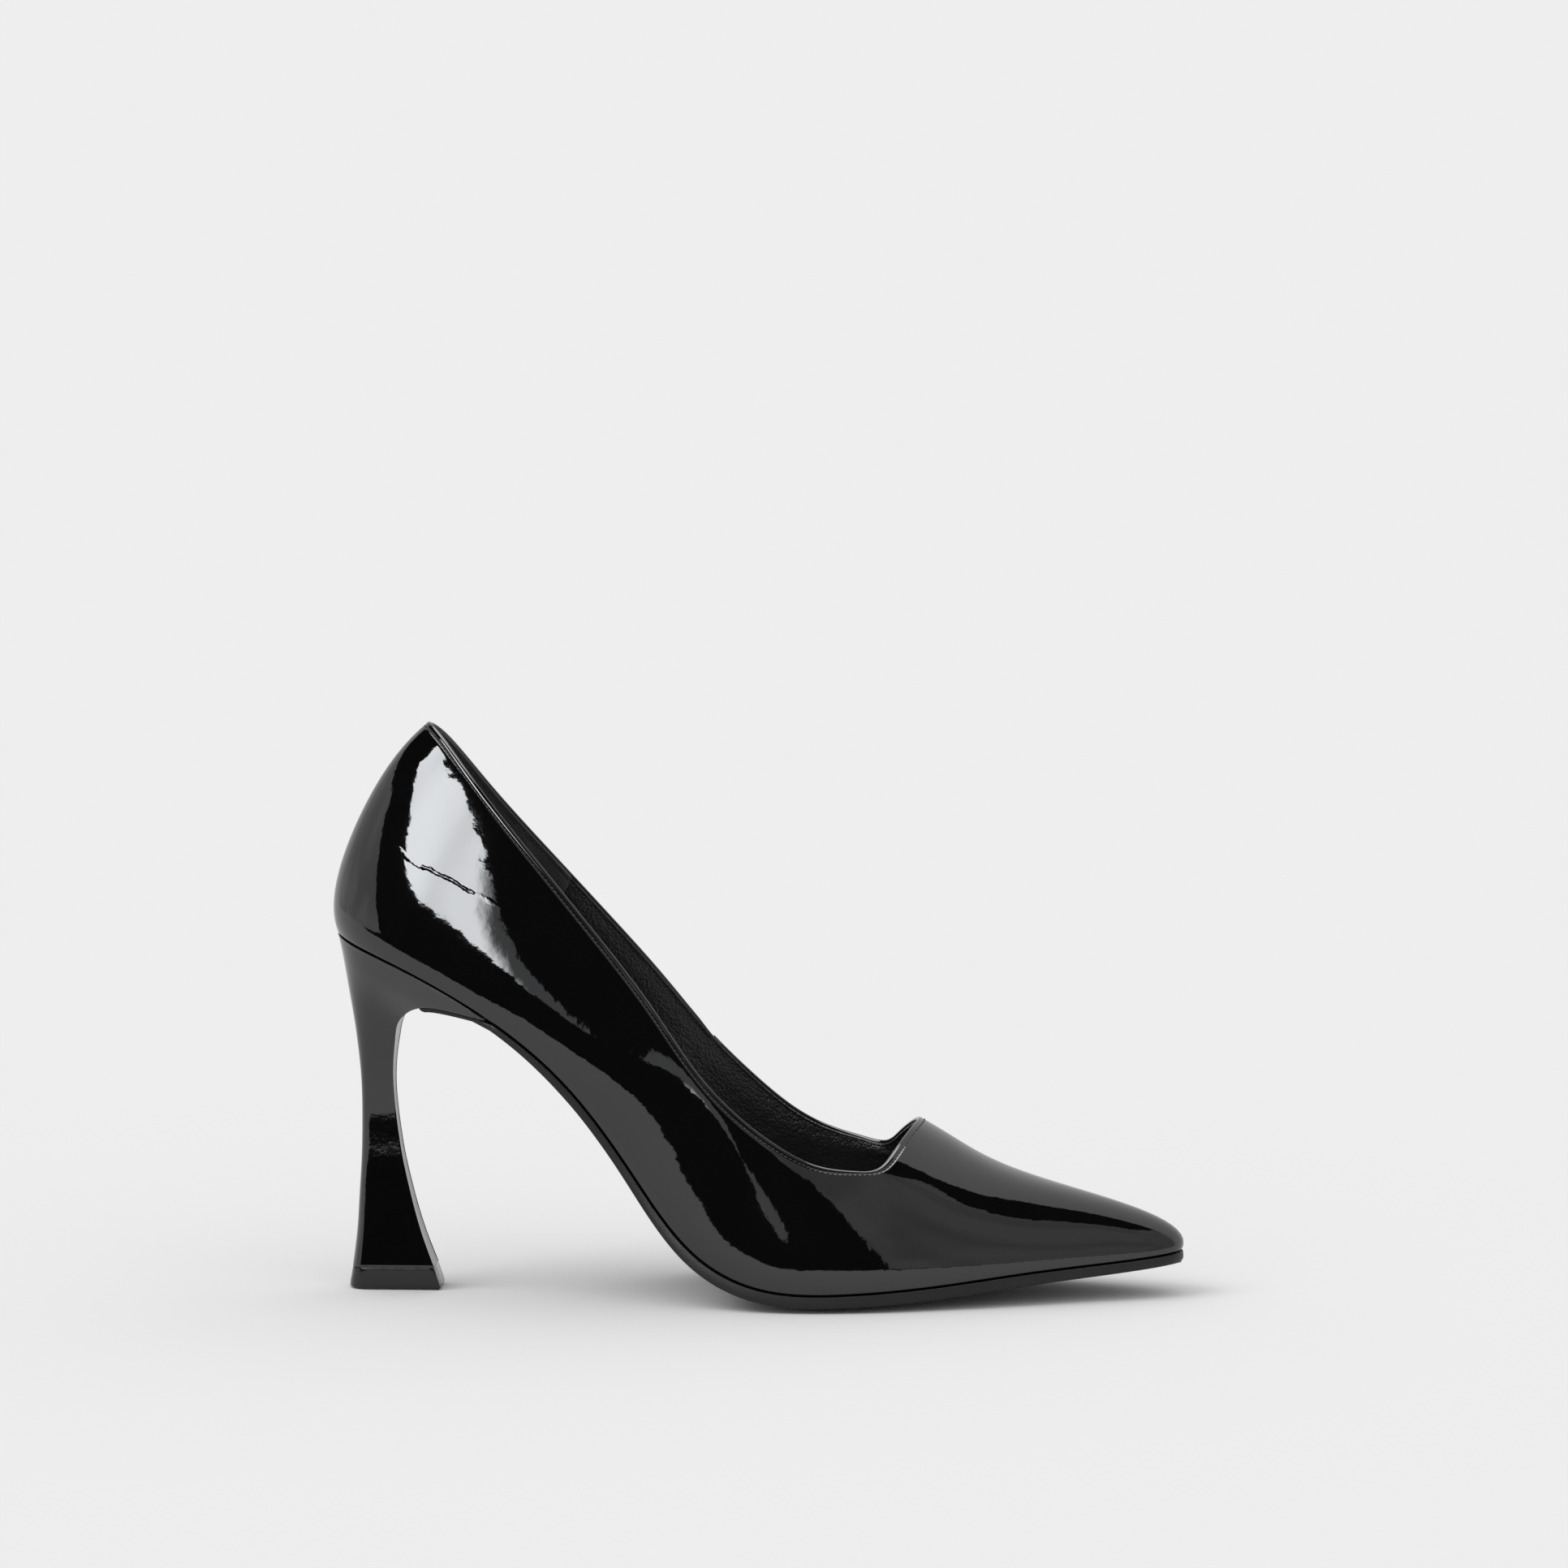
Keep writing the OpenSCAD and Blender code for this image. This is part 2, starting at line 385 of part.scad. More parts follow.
// Columns from the toe end round the heel and back, cut square at station e.
function oval_ts(e) = let(c=min(e,0.986)) [for (t=cols(c,-c)) -t];
module shank_board() color("Peru") difference() {
  ts=oval_ts(0.49);
  loft([inner_ring(ts,gap), inner_ring(ts,fl1)]);
  strip_bar(0.05,0.452,shank_width/2+0.2,0,fl1+0.5);
  for (a=nail_at) on_seat(a[0],a[1]*ky,b1) translate([0,0,-6]) cylinder(d=nail_d+2*hole_fit,h=7,$fn=24);
}
module strip_bar(sa,sb,w,h0,h1) {
  ss=span(sa,sb,14);
  loft([for (s=ss) let(P=fea(s,-1), n=bottom_n(s), A=[P[0],0,P[2]]+n*h0, B=[P[0],0,P[2]]+n*h1)
     [[B[0],w,B[2]],[A[0],w,A[2]],[A[0],-w,A[2]],[B[0],-w,B[2]]]]);
}
module steel_shank() color("SteelBlue") difference() {
  strip_bar(0.125,0.45,shank_width/2,0.35,0.35+shank_thickness);
  on_seat(screw_s,0,-1) cylinder(d=screw_d+2*hole_fit,h=5,$fn=36);
  on_seat(rivet_s[0],0,-1) cylinder(d=rivet_d+2*hole_fit,h=5,$fn=24);
  on_seat(rivet_s[1],0,-1) cylinder(d=rivet_d+2*hole_fit,h=5,$fn=24);
}
module shank_rivets() color("Goldenrod") for (s=rivet_s) on_seat(s,0,0.05) {
  cylinder(d=rivet_d,h=b1-0.05-0.6,$fn=24);
  translate([0,0,b1-0.05-0.6]) cylinder(d=rivet_d*2,h=0.6,$fn=24);
}
module forepart_filler() color("Sienna") {
  ts=concat([for (t=cols(-0.5,-1)) -t],[for (t=cols(0.9999,0.5)) if (t<0.99) -t]);
  loft([inner_ring(ts,gap), inner_ring(ts,fl1-0.1)]);
}
foam_end = 0.82;
module sock_foam() color("Gold") {
  ts=oval_ts(foam_end); in0=l1+0.4;
  loft([flat_ring(ts,in0,c0),
        [for (t=ts) let(f=smooth((foam_end-abs(t))/0.07)) bottom_edge(t,in0,c0+0.3+(foam_thickness-0.3)*f)]]);
}
function sock_in(s) = l1+0.5+1.3*smooth((s-0.7)/0.2);
function sock_h(s) = k0t+0.3+(k0-k0t-0.3)*smooth((foam_end-s)/0.07)+(s>foam_end ? -0.3*smooth((s-foam_end)/0.03) : 0);
module sock_lining() color([0.16,0.15,0.15]) {
  ts=oval_ts(0.93);
  loft([[for (t=ts) bottom_edge(t,sock_in(abs(t)),sock_h(abs(t))+0.02)],
        [for (t=ts) bottom_edge(t,sock_in(abs(t)),sock_h(abs(t))+0.02+sock_thickness)]]);
}
// Outsole: flap under the heel wing, then the waist, ball and toe.
function sole_t(s) = s<0.4 ? lerp(sole_flap+0.3,sole_waist,smooth((s-0.24)/0.1))
   : s<0.7 ? lerp(sole_waist,sole_tread,smooth((s-0.4)/0.16)) : lerp(sole_tread,2.6,smooth((s-0.7)/0.25));
flap_r = [0.865,0.9,0.935,0.965];
// The sole is thicker along its middle, so the tread stands on the floor.
tread_z = min([for (s=[0.5:0.01:0.75]) fea(s,-1)[2]-(sole_t(s)+2*gap)/bottom_n(s)[2]]);
function crown_at(s) = max(0,tread_z)*smooth((s-0.42)/0.14)*(1-0.4*smooth((s-0.78)/0.2));
function flap_pt(i,y,o) = let(r=flap_r[i], P=heel_at(r,1), n=breast_n(r)) [P[0],y*(P[1]-1.2),P[2]]+n*(gap+o);
function sole_ring_flap(i) = let(t=sole_flap) concat([flap_pt(i,-1,0)],
  [for (y=[-0.97,-0.5,0,0.5,0.97]) flap_pt(i,y,t+0.2*(1-y*y))],[flap_pt(i,1,0)]);
function sole_low(s,y) = let(t=sole_t(s), A=bottom_edge(-s,0.1,-2*gap-t), B=bottom_edge(s,0.1,-2*gap-t), k=(y+1)/2)
  lerp(A,B,k)-[0,0,crown_at(s)*(1-y*y)];
function sole_ring(s) = concat([bottom_edge(-s,-0.3,-2*gap)],[for (y=[-1,-0.55,0,0.55,1]) sole_low(s,y)],
  [bottom_edge(s,-0.3,-2*gap)]);
module outsole() color([0.22,0.17,0.14])
  loft(concat([for (i=[0:len(flap_r)-1]) sole_ring_flap(i)],[for (t=cols(-seat_end-0.008,-0.99)) sole_ring(-t)]));

upper_main();
upper_medial_quarter();
vamp_lining();
heel_grip();
heel_counter();
interlining();
toe_puff();
topline_tape();
topline_stitching();
insole_board();
shank_board();
steel_shank();
shank_rivets();
forepart_filler();
sock_foam();
sock_lining();
outsole();
heel_core();
heel_cover();
breast_cover();
heel_pin();
top_piece();
top_piece_dowel();
heel_screw();
heel_nails();
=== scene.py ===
"""High heel pump: the finished look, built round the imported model. Metres, right foot."""

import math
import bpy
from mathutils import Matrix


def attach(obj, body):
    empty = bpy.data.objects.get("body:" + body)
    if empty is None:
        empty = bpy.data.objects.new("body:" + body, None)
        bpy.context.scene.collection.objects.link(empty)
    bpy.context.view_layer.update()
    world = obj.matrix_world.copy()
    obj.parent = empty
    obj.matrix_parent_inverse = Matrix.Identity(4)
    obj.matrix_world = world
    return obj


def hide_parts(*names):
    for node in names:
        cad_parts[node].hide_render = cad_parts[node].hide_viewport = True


bl_info = {
    "name": "High heel pump",
    "version": (1, 0, 0),
    "blender": (4, 5, 0),
    "location": "View3D > Sidebar > Pump",
    "description": "Models a pointed patent leather pump on a slim covered heel",
    "category": "Add Mesh",
}

import bpy
import numpy as np
from mathutils import Vector

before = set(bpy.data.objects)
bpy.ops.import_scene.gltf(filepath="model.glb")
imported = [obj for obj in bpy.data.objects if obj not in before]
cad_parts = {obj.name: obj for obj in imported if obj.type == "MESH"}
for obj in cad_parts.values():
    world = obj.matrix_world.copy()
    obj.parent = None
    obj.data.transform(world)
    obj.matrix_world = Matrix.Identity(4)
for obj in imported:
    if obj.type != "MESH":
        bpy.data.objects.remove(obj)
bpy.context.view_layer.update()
MM = 0.001

# ---------------------------------------------------------------- the last's surface
# Control points in millimetres, the same as the imported model's: x, half width, z.
# Some were given one by one and some come from a fitting program.
FEATHER = np.array([
    (-17.5, 0, 96), (-11, 14, 93), (2, 21.6, 88.5), (21.5, 25.7, 78.5), (38.5, 26.4, 66.5),
    (52, 25.5, 52.5), (64.5, 24, 34), (79, 31.1, 13), (98.5, 38.5, 4.2), (121, 38, 4.4),
    (144, 32, 5.8), (167.5, 23, 8.5), (189, 14, 9.7), (205.5, 8.5, 11.2), (210, 0, 11.7)])
FEATHER_INNER_WIDTH = (0, 14, 21.8, 25.3, 23, 19.5, 18.5, 27, 36, 38, 34, 25.5, 16, 9, 0)
TOPLINE = np.array([
    (7.5, 0, 152), (12.5, 7.2, 149.5), (24, 17.1, 134.5), (41.5, 20.8, 114), (55.5, 22.6, 97),
    (69.5, 25.9, 80), (81, 29.2, 62), (92, 31.5, 51), (103.5, 31.5, 42.5), (113, 31.5, 37.5),
    (122.5, 30.5, 36.5), (129.5, 29, 36), (133, 22.5, 41), (137.5, 11, 46), (139.5, 0, 47)])
TOPLINE_INNER_RISE = (0, -0.5, -2.5, -1.5, 0, 1, 3.5, 3.5, 2, 2, 0.5, -1, -1, -1, 0)
LOW_PULL = np.array([
    (-6.4, 0, 13.4), (-4.2, 2.5, 12.1), (-1.5, 2.9, 11.2), (0, 2.3, 9.8), (0.5, 4.2, 9.9),
    (0.5, 6.1, 9.2), (0.5, 5.2, 8.6), (0.5, 2.9, 8.3), (0.5, 1.7, 8.3), (0.8, 0.8, 8.7),
    (2.3, 0.3, 10), (4.5, -0.3, 10), (5, -0.6, 10.2), (4.8, -0.4, 11), (8.4, 0, 14)])
MID_PULL = np.array([
    (-4.8, 0, 7), (-3.5, 1.5, 5), (-2, 2.3, 3), (-1, 1.8, 1), (0, 2.6, 0), (0, 3.9, 0),
    (0, 3.7, 0), (0, 2.4, 0), (1, 1.6, 0), (2.6, 1.9, 1), (1.5, 0.5, 3), (-8.3, 1.1, 4.5),
    (-16.6, 2.1, 4.4), (-19, 0.9, 2.5), (-19.7, 0, 0.5)])
TOP_PULL = np.array([
    (-15.5, 0, -10.5), (-9, 3.5, -11.5), (-5, 3.3, -11), (-3.5, 2.6, -9.5), (-3, 2.4, -8),
    (-2.5, 2.1, -7), (-2, 1.9, -7), (-1, 2.5, -7), (1, 2.6, -7), (4, 2.8, -7.2), (8.8, 0.4, -5.5),
    (15.6, -2.1, -6.4), (21.2, -2.7, -9.7), (22.4, -1, -11.9), (23, 0, -12.5)])
FEATHER_INNER = FEATHER.copy()
FEATHER_INNER[:, 1] = FEATHER_INNER_WIDTH
TOPLINE_INNER = TOPLINE.copy()
TOPLINE_INNER[:, 2] += TOPLINE_INNER_RISE

SEAM_T = 0.44
LINING_SEAM_T = 0.235
SEAT_END = 0.235


def smooth(x):
    """Ease from 0 to 1."""
    u = np.clip(x, 0, 1)
    return u * u * (3 - 2 * u)


def lerp(a, b, k):
    return a + (b - a) * k


def unit(v):
    return v / np.linalg.norm(v, axis=-1, keepdims=True)


def spline(points, s):
    """Smooth curve through a control list, mirrored past both ends."""
    s = np.asarray(s, float)
    n = len(points) - 1
    x = s * n
    i = np.clip(np.floor(x), 0, n - 1).astype(int)
    f = (x - i)[..., None]
    mirror = np.array((1, -1, 1))

    def at(k):
        low, high = k < 0, k > n
        k = np.where(low, -k, np.where(high, 2 * n - k, k))
        p = points[k]
        return np.where((low | high)[..., None], p * mirror, p)

    return (at(i - 1) * (1 - f) ** 3 + at(i) * (3 * f**3 - 6 * f**2 + 4)
            + at(i + 1) * (-3 * f**3 + 3 * f**2 + 3 * f + 1) + at(i + 2) * f**3) / 6


def wrap(t):
    """Fold a place round the shoe into -1..1; negative is the outer side."""
    return (np.asarray(t, float) + 1) % 2 - 1


def pick(t, outer, inner, s):
    return np.where((wrap(t) < 0)[..., None], spline(outer, s), spline(inner, s))


def sided(p, t):
    q = p.copy()
    q[..., 1] *= np.where(wrap(t) < 0, -1, 1)
    return q


def feather(t):
    s = np.abs(wrap(t))
    return sided(pick(t, FEATHER, FEATHER_INNER, s), t)


def wall(t, v):
    """Outer surface: t round the shoe, v from the feather line to the topline."""
    t, v = np.broadcast_arrays(np.asarray(t, float), np.asarray(v, float))
    s = np.abs(wrap(t))
    f, g = pick(t, FEATHER, FEATHER_INNER, s), pick(t, TOPLINE, TOPLINE_INNER, s)
    a, c = f + spline(LOW_PULL, s), g + spline(TOP_PULL, s)
    b = (f + g) / 2 + spline(MID_PULL, s)
    v = v[..., None]
    u = 1 - v
    return sided(f * u**4 + a * 4 * v * u**3 + b * 6 * v**2 * u**2 + c * 4 * v**3 * u + g * v**4, t)


def wall_normal(t, v):
    e = 0.002
    return unit(np.cross(wall(t, np.minimum(1, v + e)) - wall(t, np.maximum(0, v - e)),
                         wall(t + e, v) - wall(t - e, v)))


def layer(t, v, depth):
    """A point `depth` under the outer surface."""
    return wall(t, v) - wall_normal(t, v) * np.asarray(depth)[..., None]


def v_below(t, distance):
    """The v that lies a distance under the topline."""
    return 1 - distance / (4 * np.linalg.norm(spline(TOP_PULL, np.abs(wrap(t))), axis=-1))


def bottom_normal(s):
    q = np.clip(s, 0.04, 0.97)
    d = spline(FEATHER, q + 0.01) - spline(FEATHER, q - 0.01)
    return unit(np.stack((-d[..., 2], 0 * d[..., 0], d[..., 0]), -1))


def bottom_edge(t, inset, height):
    """A point on the bottom, inset from the feather line and raised."""
    e = 0.004
    n = bottom_normal(np.abs(wrap(t)))
    inward = unit(np.cross(n, feather(t - e) - feather(t + e)))
    return feather(t) + inward * np.asarray(inset)[..., None] + n * np.asarray(height)[..., None]


# ---------------------------------------------------------------- the heel's surface
WAIST_DEPTH, WAIST_WIDTH, TIP_LENGTH, TIP_WIDTH, TIP_HEIGHT = 8.9, 7.6, 24.6, 11.8, 5.6
HEEL_Z = (5.7, 14.9, 24.8, 38, 54, 67.4, 80.3, 90)
CENTRE_X = np.array((-0.85, -1.95, -3, -4.05, -4.95))
HEEL_DEPTH = lerp(WAIST_DEPTH, TIP_LENGTH, np.array((0.85, 0.56, 0.34, 0.115, 0)))
HEEL_HALF = lerp(WAIST_WIDTH / 2, TIP_WIDTH / 2, np.array((1, 0.63, 0.28, 0, 0.02)))


def seat_line(p):
    """Top edge of the heel: p runs -1..1 round the back, breast to breast."""
    t = SEAT_END * np.asarray(p, float)
    return feather(t) - bottom_normal(np.abs(t)) * 0.3


def outer_seat(p):
    q = seat_line(-p)
    return np.array((q[0], -q[1], q[2]))


BACK_LINE = np.array(
    [(CENTRE_X[i] - HEEL_DEPTH[i] / 2, 0, HEEL_Z[i]) for i in range(5)]
    + [(-10.6, 0, HEEL_Z[5]), (-12.6, 0, HEEL_Z[6]), (-14.3, 0, HEEL_Z[7]), outer_seat(0.0)])
BREAST_LINE = np.array(
    [(CENTRE_X[i] + HEEL_DEPTH[i] / 2, HEEL_HALF[i], HEEL_Z[i]) for i in range(5)]
    + [(0.1, 6.3, 65.5), (2.2, 10.5, 73), (10, 18.5, 77), outer_seat(1.0)])


def through(points, r):
    """Smooth curve that passes through every point of a list."""
    n = len(points) - 1
    x = np.asarray(r, float) * n
    i = np.clip(np.floor(x), 0, n - 1).astype(int)
    f = (x - i)[..., None]
    p0, p1, p2, p3 = (points[np.clip(i + k, 0, n)] for k in (-1, 0, 1, 2))
    return (p1 + (p2 - p0) * (f / 2) + (p0 * 2 - p1 * 5 + p2 * 4 - p3) * (f * f / 2)
            + (p1 * 3 - p0 - p2 * 3 + p3) * (f * f * f / 2))


def heel(r, p):
    """Heel surface: r from tip to seat, p from the outer breast edge round to the inner."""
    r, p = np.broadcast_arrays(np.asarray(r, float), np.asarray(p, float))
    q, side = np.abs(p), np.where(p < 0, -1.0, 1.0)
    b, e = through(BACK_LINE, r), through(BREAST_LINE, r)
    w = np.where(r >= 1, 1.0, smooth((r - 0.58) / 0.42))
    s0, s1, s = seat_line(0.0), seat_line(side), seat_line(p)
    rd, k = np.minimum(0.6, 0.7 * e[..., 1] / (e[..., 0] - b[..., 0])), 0.62
    turn = np.pi / 2 * np.minimum(q / k, 1)
    fx = np.where(q < k, rd * (1 - np.cos(turn)), rd + (1 - rd) * (q - k) / (1 - k))
    fy = np.where(q < k, np.sin(turn) ** 0.74, 1.0)
    along = (s - s0) / (s1 - s0 + 1e-12)
    width = np.abs(s1[..., 1]) / outer_seat(1.0)[1]
    return np.stack((
        lerp(b[..., 0], e[..., 0], lerp(fx, along[..., 0], w)),
        side * e[..., 1] * lerp(fy, np.abs(s[..., 1] / s1[..., 1]), w) * lerp(1, width, w),
        lerp(b[..., 2], e[..., 2], lerp(fx, along[..., 2], w))), -1)


def heel_normal(r, p):
    e = 0.004
    return unit(np.cross(
        heel(np.minimum(1, r + e), p) - heel(np.maximum(0, r - e), p),
        heel(r, np.minimum(1, p + e)) - heel(r, np.maximum(-1, p - e))))


def breast_normal(r):
    d = heel(np.minimum(1, r + 0.01), 1.0) - heel(np.maximum(0, r - 0.01), 1.0)
    return unit(np.stack((d[..., 2], 0 * d[..., 0], -d[..., 0]), -1))


def heel_under(r, p, depth):
    """A point under the heel's surface; the breast edge keeps its corner."""
    r, p = np.broadcast_arrays(np.asarray(r, float), np.asarray(p, float))
    a, b = -heel_normal(r, p), -breast_normal(r)
    c = np.sum(a * b, -1, keepdims=True)
    corner = (a + b) * (1 - c) / np.maximum(0.15, 1 - c * c)
    return heel(r, p) + np.where((np.abs(p) < 0.99)[..., None], a, corner) * depth


# ---------------------------------------------------------------- mesh helpers
def deselect():
    if bpy.context.object and bpy.context.object.mode != "OBJECT":
        bpy.ops.object.mode_set(mode="OBJECT")
    bpy.ops.object.select_all(action="DESELECT")


def edit(piece):
    """Open a piece for editing with all of it selected."""
    deselect()
    piece.select_set(True)
    bpy.context.view_layer.objects.active = piece
    bpy.ops.object.mode_set(mode="EDIT")
    bpy.ops.mesh.select_all(action="SELECT")


def close_edit():
    bpy.ops.object.mode_set(mode="OBJECT")


def sheet(name, points):
    """A flat grid laid onto rows of points in millimetres; edges that meet are welded."""
    points = np.asarray(points, float)
    rows, across = points.shape[:2]
    deselect()
    bpy.ops.mesh.primitive_grid_add(x_subdivisions=across - 1, y_subdivisions=rows - 1, size=1)
    piece = bpy.context.object
    piece.name = piece.data.name = name
    piece.matrix_world.identity()
    piece.data.vertices.foreach_set("co", (points * MM).ravel())
    piece.data.update()
    edit(piece)
    bpy.ops.mesh.remove_doubles(threshold=2e-6)
    close_edit()
    return piece


def outward(piece):
    edit(piece)
    bpy.ops.mesh.normals_make_consistent(inside=False)
    close_edit()


def loop_piece(name, rings, round_trip=False):
    """A closed form from rings of points; its open ends are filled."""
    rings = np.asarray(rings, float)
    rings = np.concatenate((rings, rings[:, :1]), 1)
    if round_trip:
        rings = np.concatenate((rings, rings[:1]), 0)
    piece = sheet(name, rings)
    edit(piece)
    bpy.ops.mesh.fill_holes(sides=0)
    close_edit()
    outward(piece)
    return piece


def wall_piece(name, outer, inner, cap=None, closed=False):
    """A leather wall between two faces of equal rows; the ends pinch shut."""
    middle = (outer + inner) / 2
    faces = [outer, inner[:, ::-1]]
    mids = [middle, middle[:, ::-1]]
    if cap is not None:
        faces.insert(1, cap)
        flat = (cap + cap[:, ::-1]) / 2
        mids.insert(1, flat)
    rings, ends = np.concatenate(faces, 1), np.concatenate(mids, 1)
    if not closed:
        rings = np.concatenate((ends[:1], rings, ends[-1:]), 0)
    return loop_piece(name, rings, closed)


def apply(piece, kind, **settings):
    deselect()
    piece.select_set(True)
    bpy.context.view_layer.objects.active = piece
    modifier = piece.modifiers.new(kind.title(), kind)
    for key, value in settings.items():
        setattr(modifier, key, value)
    bpy.ops.object.modifier_apply(modifier=modifier.name)


def soften(piece, width, segments=2, angle=50):
    """Round the crisp edges of a piece; width in millimetres."""
    apply(piece, "BEVEL", width=width * MM, segments=segments, limit_method="ANGLE",
          angle_limit=math.radians(angle), harden_normals=False, use_clamp_overlap=True)


def smooth_shade(piece, angle=40):
    deselect()
    piece.select_set(True)
    bpy.context.view_layer.objects.active = piece
    bpy.ops.object.shade_smooth_by_angle(angle=math.radians(angle))


def finish(piece, material, slot, *nodes):
    """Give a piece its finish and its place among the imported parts."""
    piece.data.materials.clear()
    piece.data.materials.append(material)
    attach(piece, "root")
    if nodes:
        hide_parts(*nodes)


# ---------------------------------------------------------------- materials
class Field:
    """A value in a node tree that takes part in sums."""

    def __init__(self, tree, socket):
        self.tree, self.socket = tree, socket

    def sum(self, kind, *values):
        node = self.tree.nodes.new("ShaderNodeMath")
        node.operation = kind
        for place, value in zip(node.inputs, values):
            if isinstance(value, Field):
                self.tree.links.new(value.socket, place)
            else:
                place.default_value = value
        return Field(self.tree, node.outputs[0])

    def __add__(self, other):
        return self.sum("ADD", self, other)

    def __radd__(self, other):
        return self.sum("ADD", other, self)

    def __sub__(self, other):
        return self.sum("SUBTRACT", self, other)

    def __rsub__(self, other):
        return self.sum("SUBTRACT", other, self)

    def __mul__(self, other):
        return self.sum("MULTIPLY", self, other)

    def __rmul__(self, other):
        return self.sum("MULTIPLY", other, self)


class Finish:
    """One material and its nodes."""

    def __init__(self, name):
        self.material = bpy.data.materials.new(name)
        self.material.use_nodes = True
        self.tree = self.material.node_tree
        self.tree.nodes.clear()
        self.output = self.tree.nodes.new("ShaderNodeOutputMaterial")
        self.place = self.node("TexCoord", {}, out="Object")

    def node(self, kind, settings, out=0, **inputs):
        node = self.tree.nodes.new("ShaderNode" + kind)
        for key, value in settings.items():
            setattr(node, key, value)
        for key, value in inputs.items():
            socket = node.inputs[key.replace("_", " ")]
            if isinstance(value, Field):
                self.tree.links.new(value.socket, socket)
            else:
                socket.default_value = value
        return Field(self.tree, node.outputs[out])

    def noise(self, millimetres, detail=2.0, stretch=None, roughness=0.5):
        """Soft noise with features about this many millimetres across, 0 to 1."""
        place = self.place
        if stretch:
            place = self.node("Mapping", {}, Vector=place, Scale=stretch)
        return self.node("TexNoise", {"noise_dimensions": "3D"}, Vector=place,
                         Scale=1000 / millimetres, Detail=detail, Roughness=roughness)

    def cells(self, millimetres, feature="F1", out="Distance"):
        return self.node("TexVoronoi", {"feature": feature}, out=out, Vector=self.place,
                         Scale=1000 / millimetres)

    def ramp(self, value, low, high):
        """Rescale a value so that low..high becomes 0..1."""
        return self.node("MapRange", {"interpolation_type": "SMOOTHSTEP"}, Value=value,
                         From_Min=low, From_Max=high)

    def mix(self, amount, a, b):
        node = self.tree.nodes.new("ShaderNodeMix")
        node.data_type = "RGBA"
        for index, value in ((0, amount), (6, a), (7, b)):
            if isinstance(value, Field):
                self.tree.links.new(value.socket, node.inputs[index])
            else:
                node.inputs[index].default_value = value
        return Field(self.tree, node.outputs[2])

    def bump(self, height, millimetres, under=None):
        inputs = {"Height": height, "Distance": millimetres * MM, "Strength": 1.0}
        if under is not None:
            inputs["Normal"] = under
        return self.node("Bump", {}, **inputs)

    def surface(self, **inputs):
        """The shader itself; returns the finished material."""
        shader = self.node("BsdfPrincipled", {}, **inputs)
        self.tree.links.new(shader.socket, self.output.inputs["Surface"])
        return self.material


def rgba(colour, gain=1.0):
    return (colour[0] * gain, colour[1] * gain, colour[2] * gain, 1.0)


MADE = {}


EDGE_START, EDGE_LEAN = (2.4, 118.2), (0.436, 0.9)
EDGE_WANDER, EDGE_HALF_WIDTH = 4.2, 0.8


def counter_edge(f):
    """The edge of the stiffener, printed faintly through the leather as a broken ridge."""
    x = f.node("SeparateXYZ", {}, Vector=f.place) * 1000.0
    z = f.node("SeparateXYZ", {}, out=2, Vector=f.place) * 1000.0
    off = ((x - EDGE_START[0]) * EDGE_LEAN[0] + (z - EDGE_START[1]) * EDGE_LEAN[1]
           + (f.noise(6.0, 4.0) - 0.5) * EDGE_WANDER)
    ends = f.ramp(x, 1.5, 4.0) * f.ramp(x, 31.0, 20.0)
    broken = f.ramp(f.noise(4.0, 2.0), 0.4, 0.56)
    return f.ramp(off.sum("ABSOLUTE", off), EDGE_HALF_WIDTH, 0.0) * ends * (broken * 0.8 + 0.2)


def glossy_skin(name, colours, wave, fray, ridge=0.0):
    """Black lacquered leather: clear and bright, with a faint roll that frays reflections."""
    f = Finish(name)
    haze = f.noise(22.0, 3.0)
    dust = f.ramp(f.noise(0.6, 3.0), 0.62, 0.74)
    height = f.noise(11.0, 1.0) * wave + f.noise(3.2, 1.5) * fray + f.noise(0.9, 2.0) * 0.004
    if ridge:
        height = height + counter_edge(f) * ridge
    return f.surface(
        Base_Color=f.mix(haze, rgba(colours.patent, 0.8), rgba(colours.patent, 1.3)),
        Roughness=haze * 0.02 + dust * 0.03 + 0.025, IOR=1.68, Normal=f.bump(height, 1.0))


def patent(colours):
    return glossy_skin("Patent leather", colours, 0.08, 0.024, 0.10)


def heel_patent(colours):
    return glossy_skin("Heel covering", colours, 0.02, 0.008)


def strip_leather(colours):
    """The breast strip: the same skin, worn duller where the last was pulled."""
    f = Finish("Breast strip")
    haze = f.noise(9.0, 3.0)
    return f.surface(
        Base_Color=f.mix(haze, rgba(colours.patent, 1.0), rgba(colours.patent, 2.0)),
        Roughness=haze * 0.1 + 0.2, IOR=1.33, Coat_Weight=0.25, Coat_Roughness=0.12,
        Normal=f.bump(f.noise(1.2, 3.0), 0.03))


def lining_leather(colours):
    f = Finish("Lining leather")
    pebble = f.cells(0.75)
    crease = f.noise(2.6, 4.0)
    wear = f.ramp(f.noise(14.0, 4.0), 0.45, 0.75)
    height = pebble * -0.7 + crease * 0.8
    return f.surface(
        Base_Color=f.mix(wear, rgba(colours.lining, 0.8), rgba(colours.lining, 1.5)),
        Roughness=pebble * 0.15 + wear * -0.1 + 0.34, IOR=1.5,
        Normal=f.bump(height, 0.26))


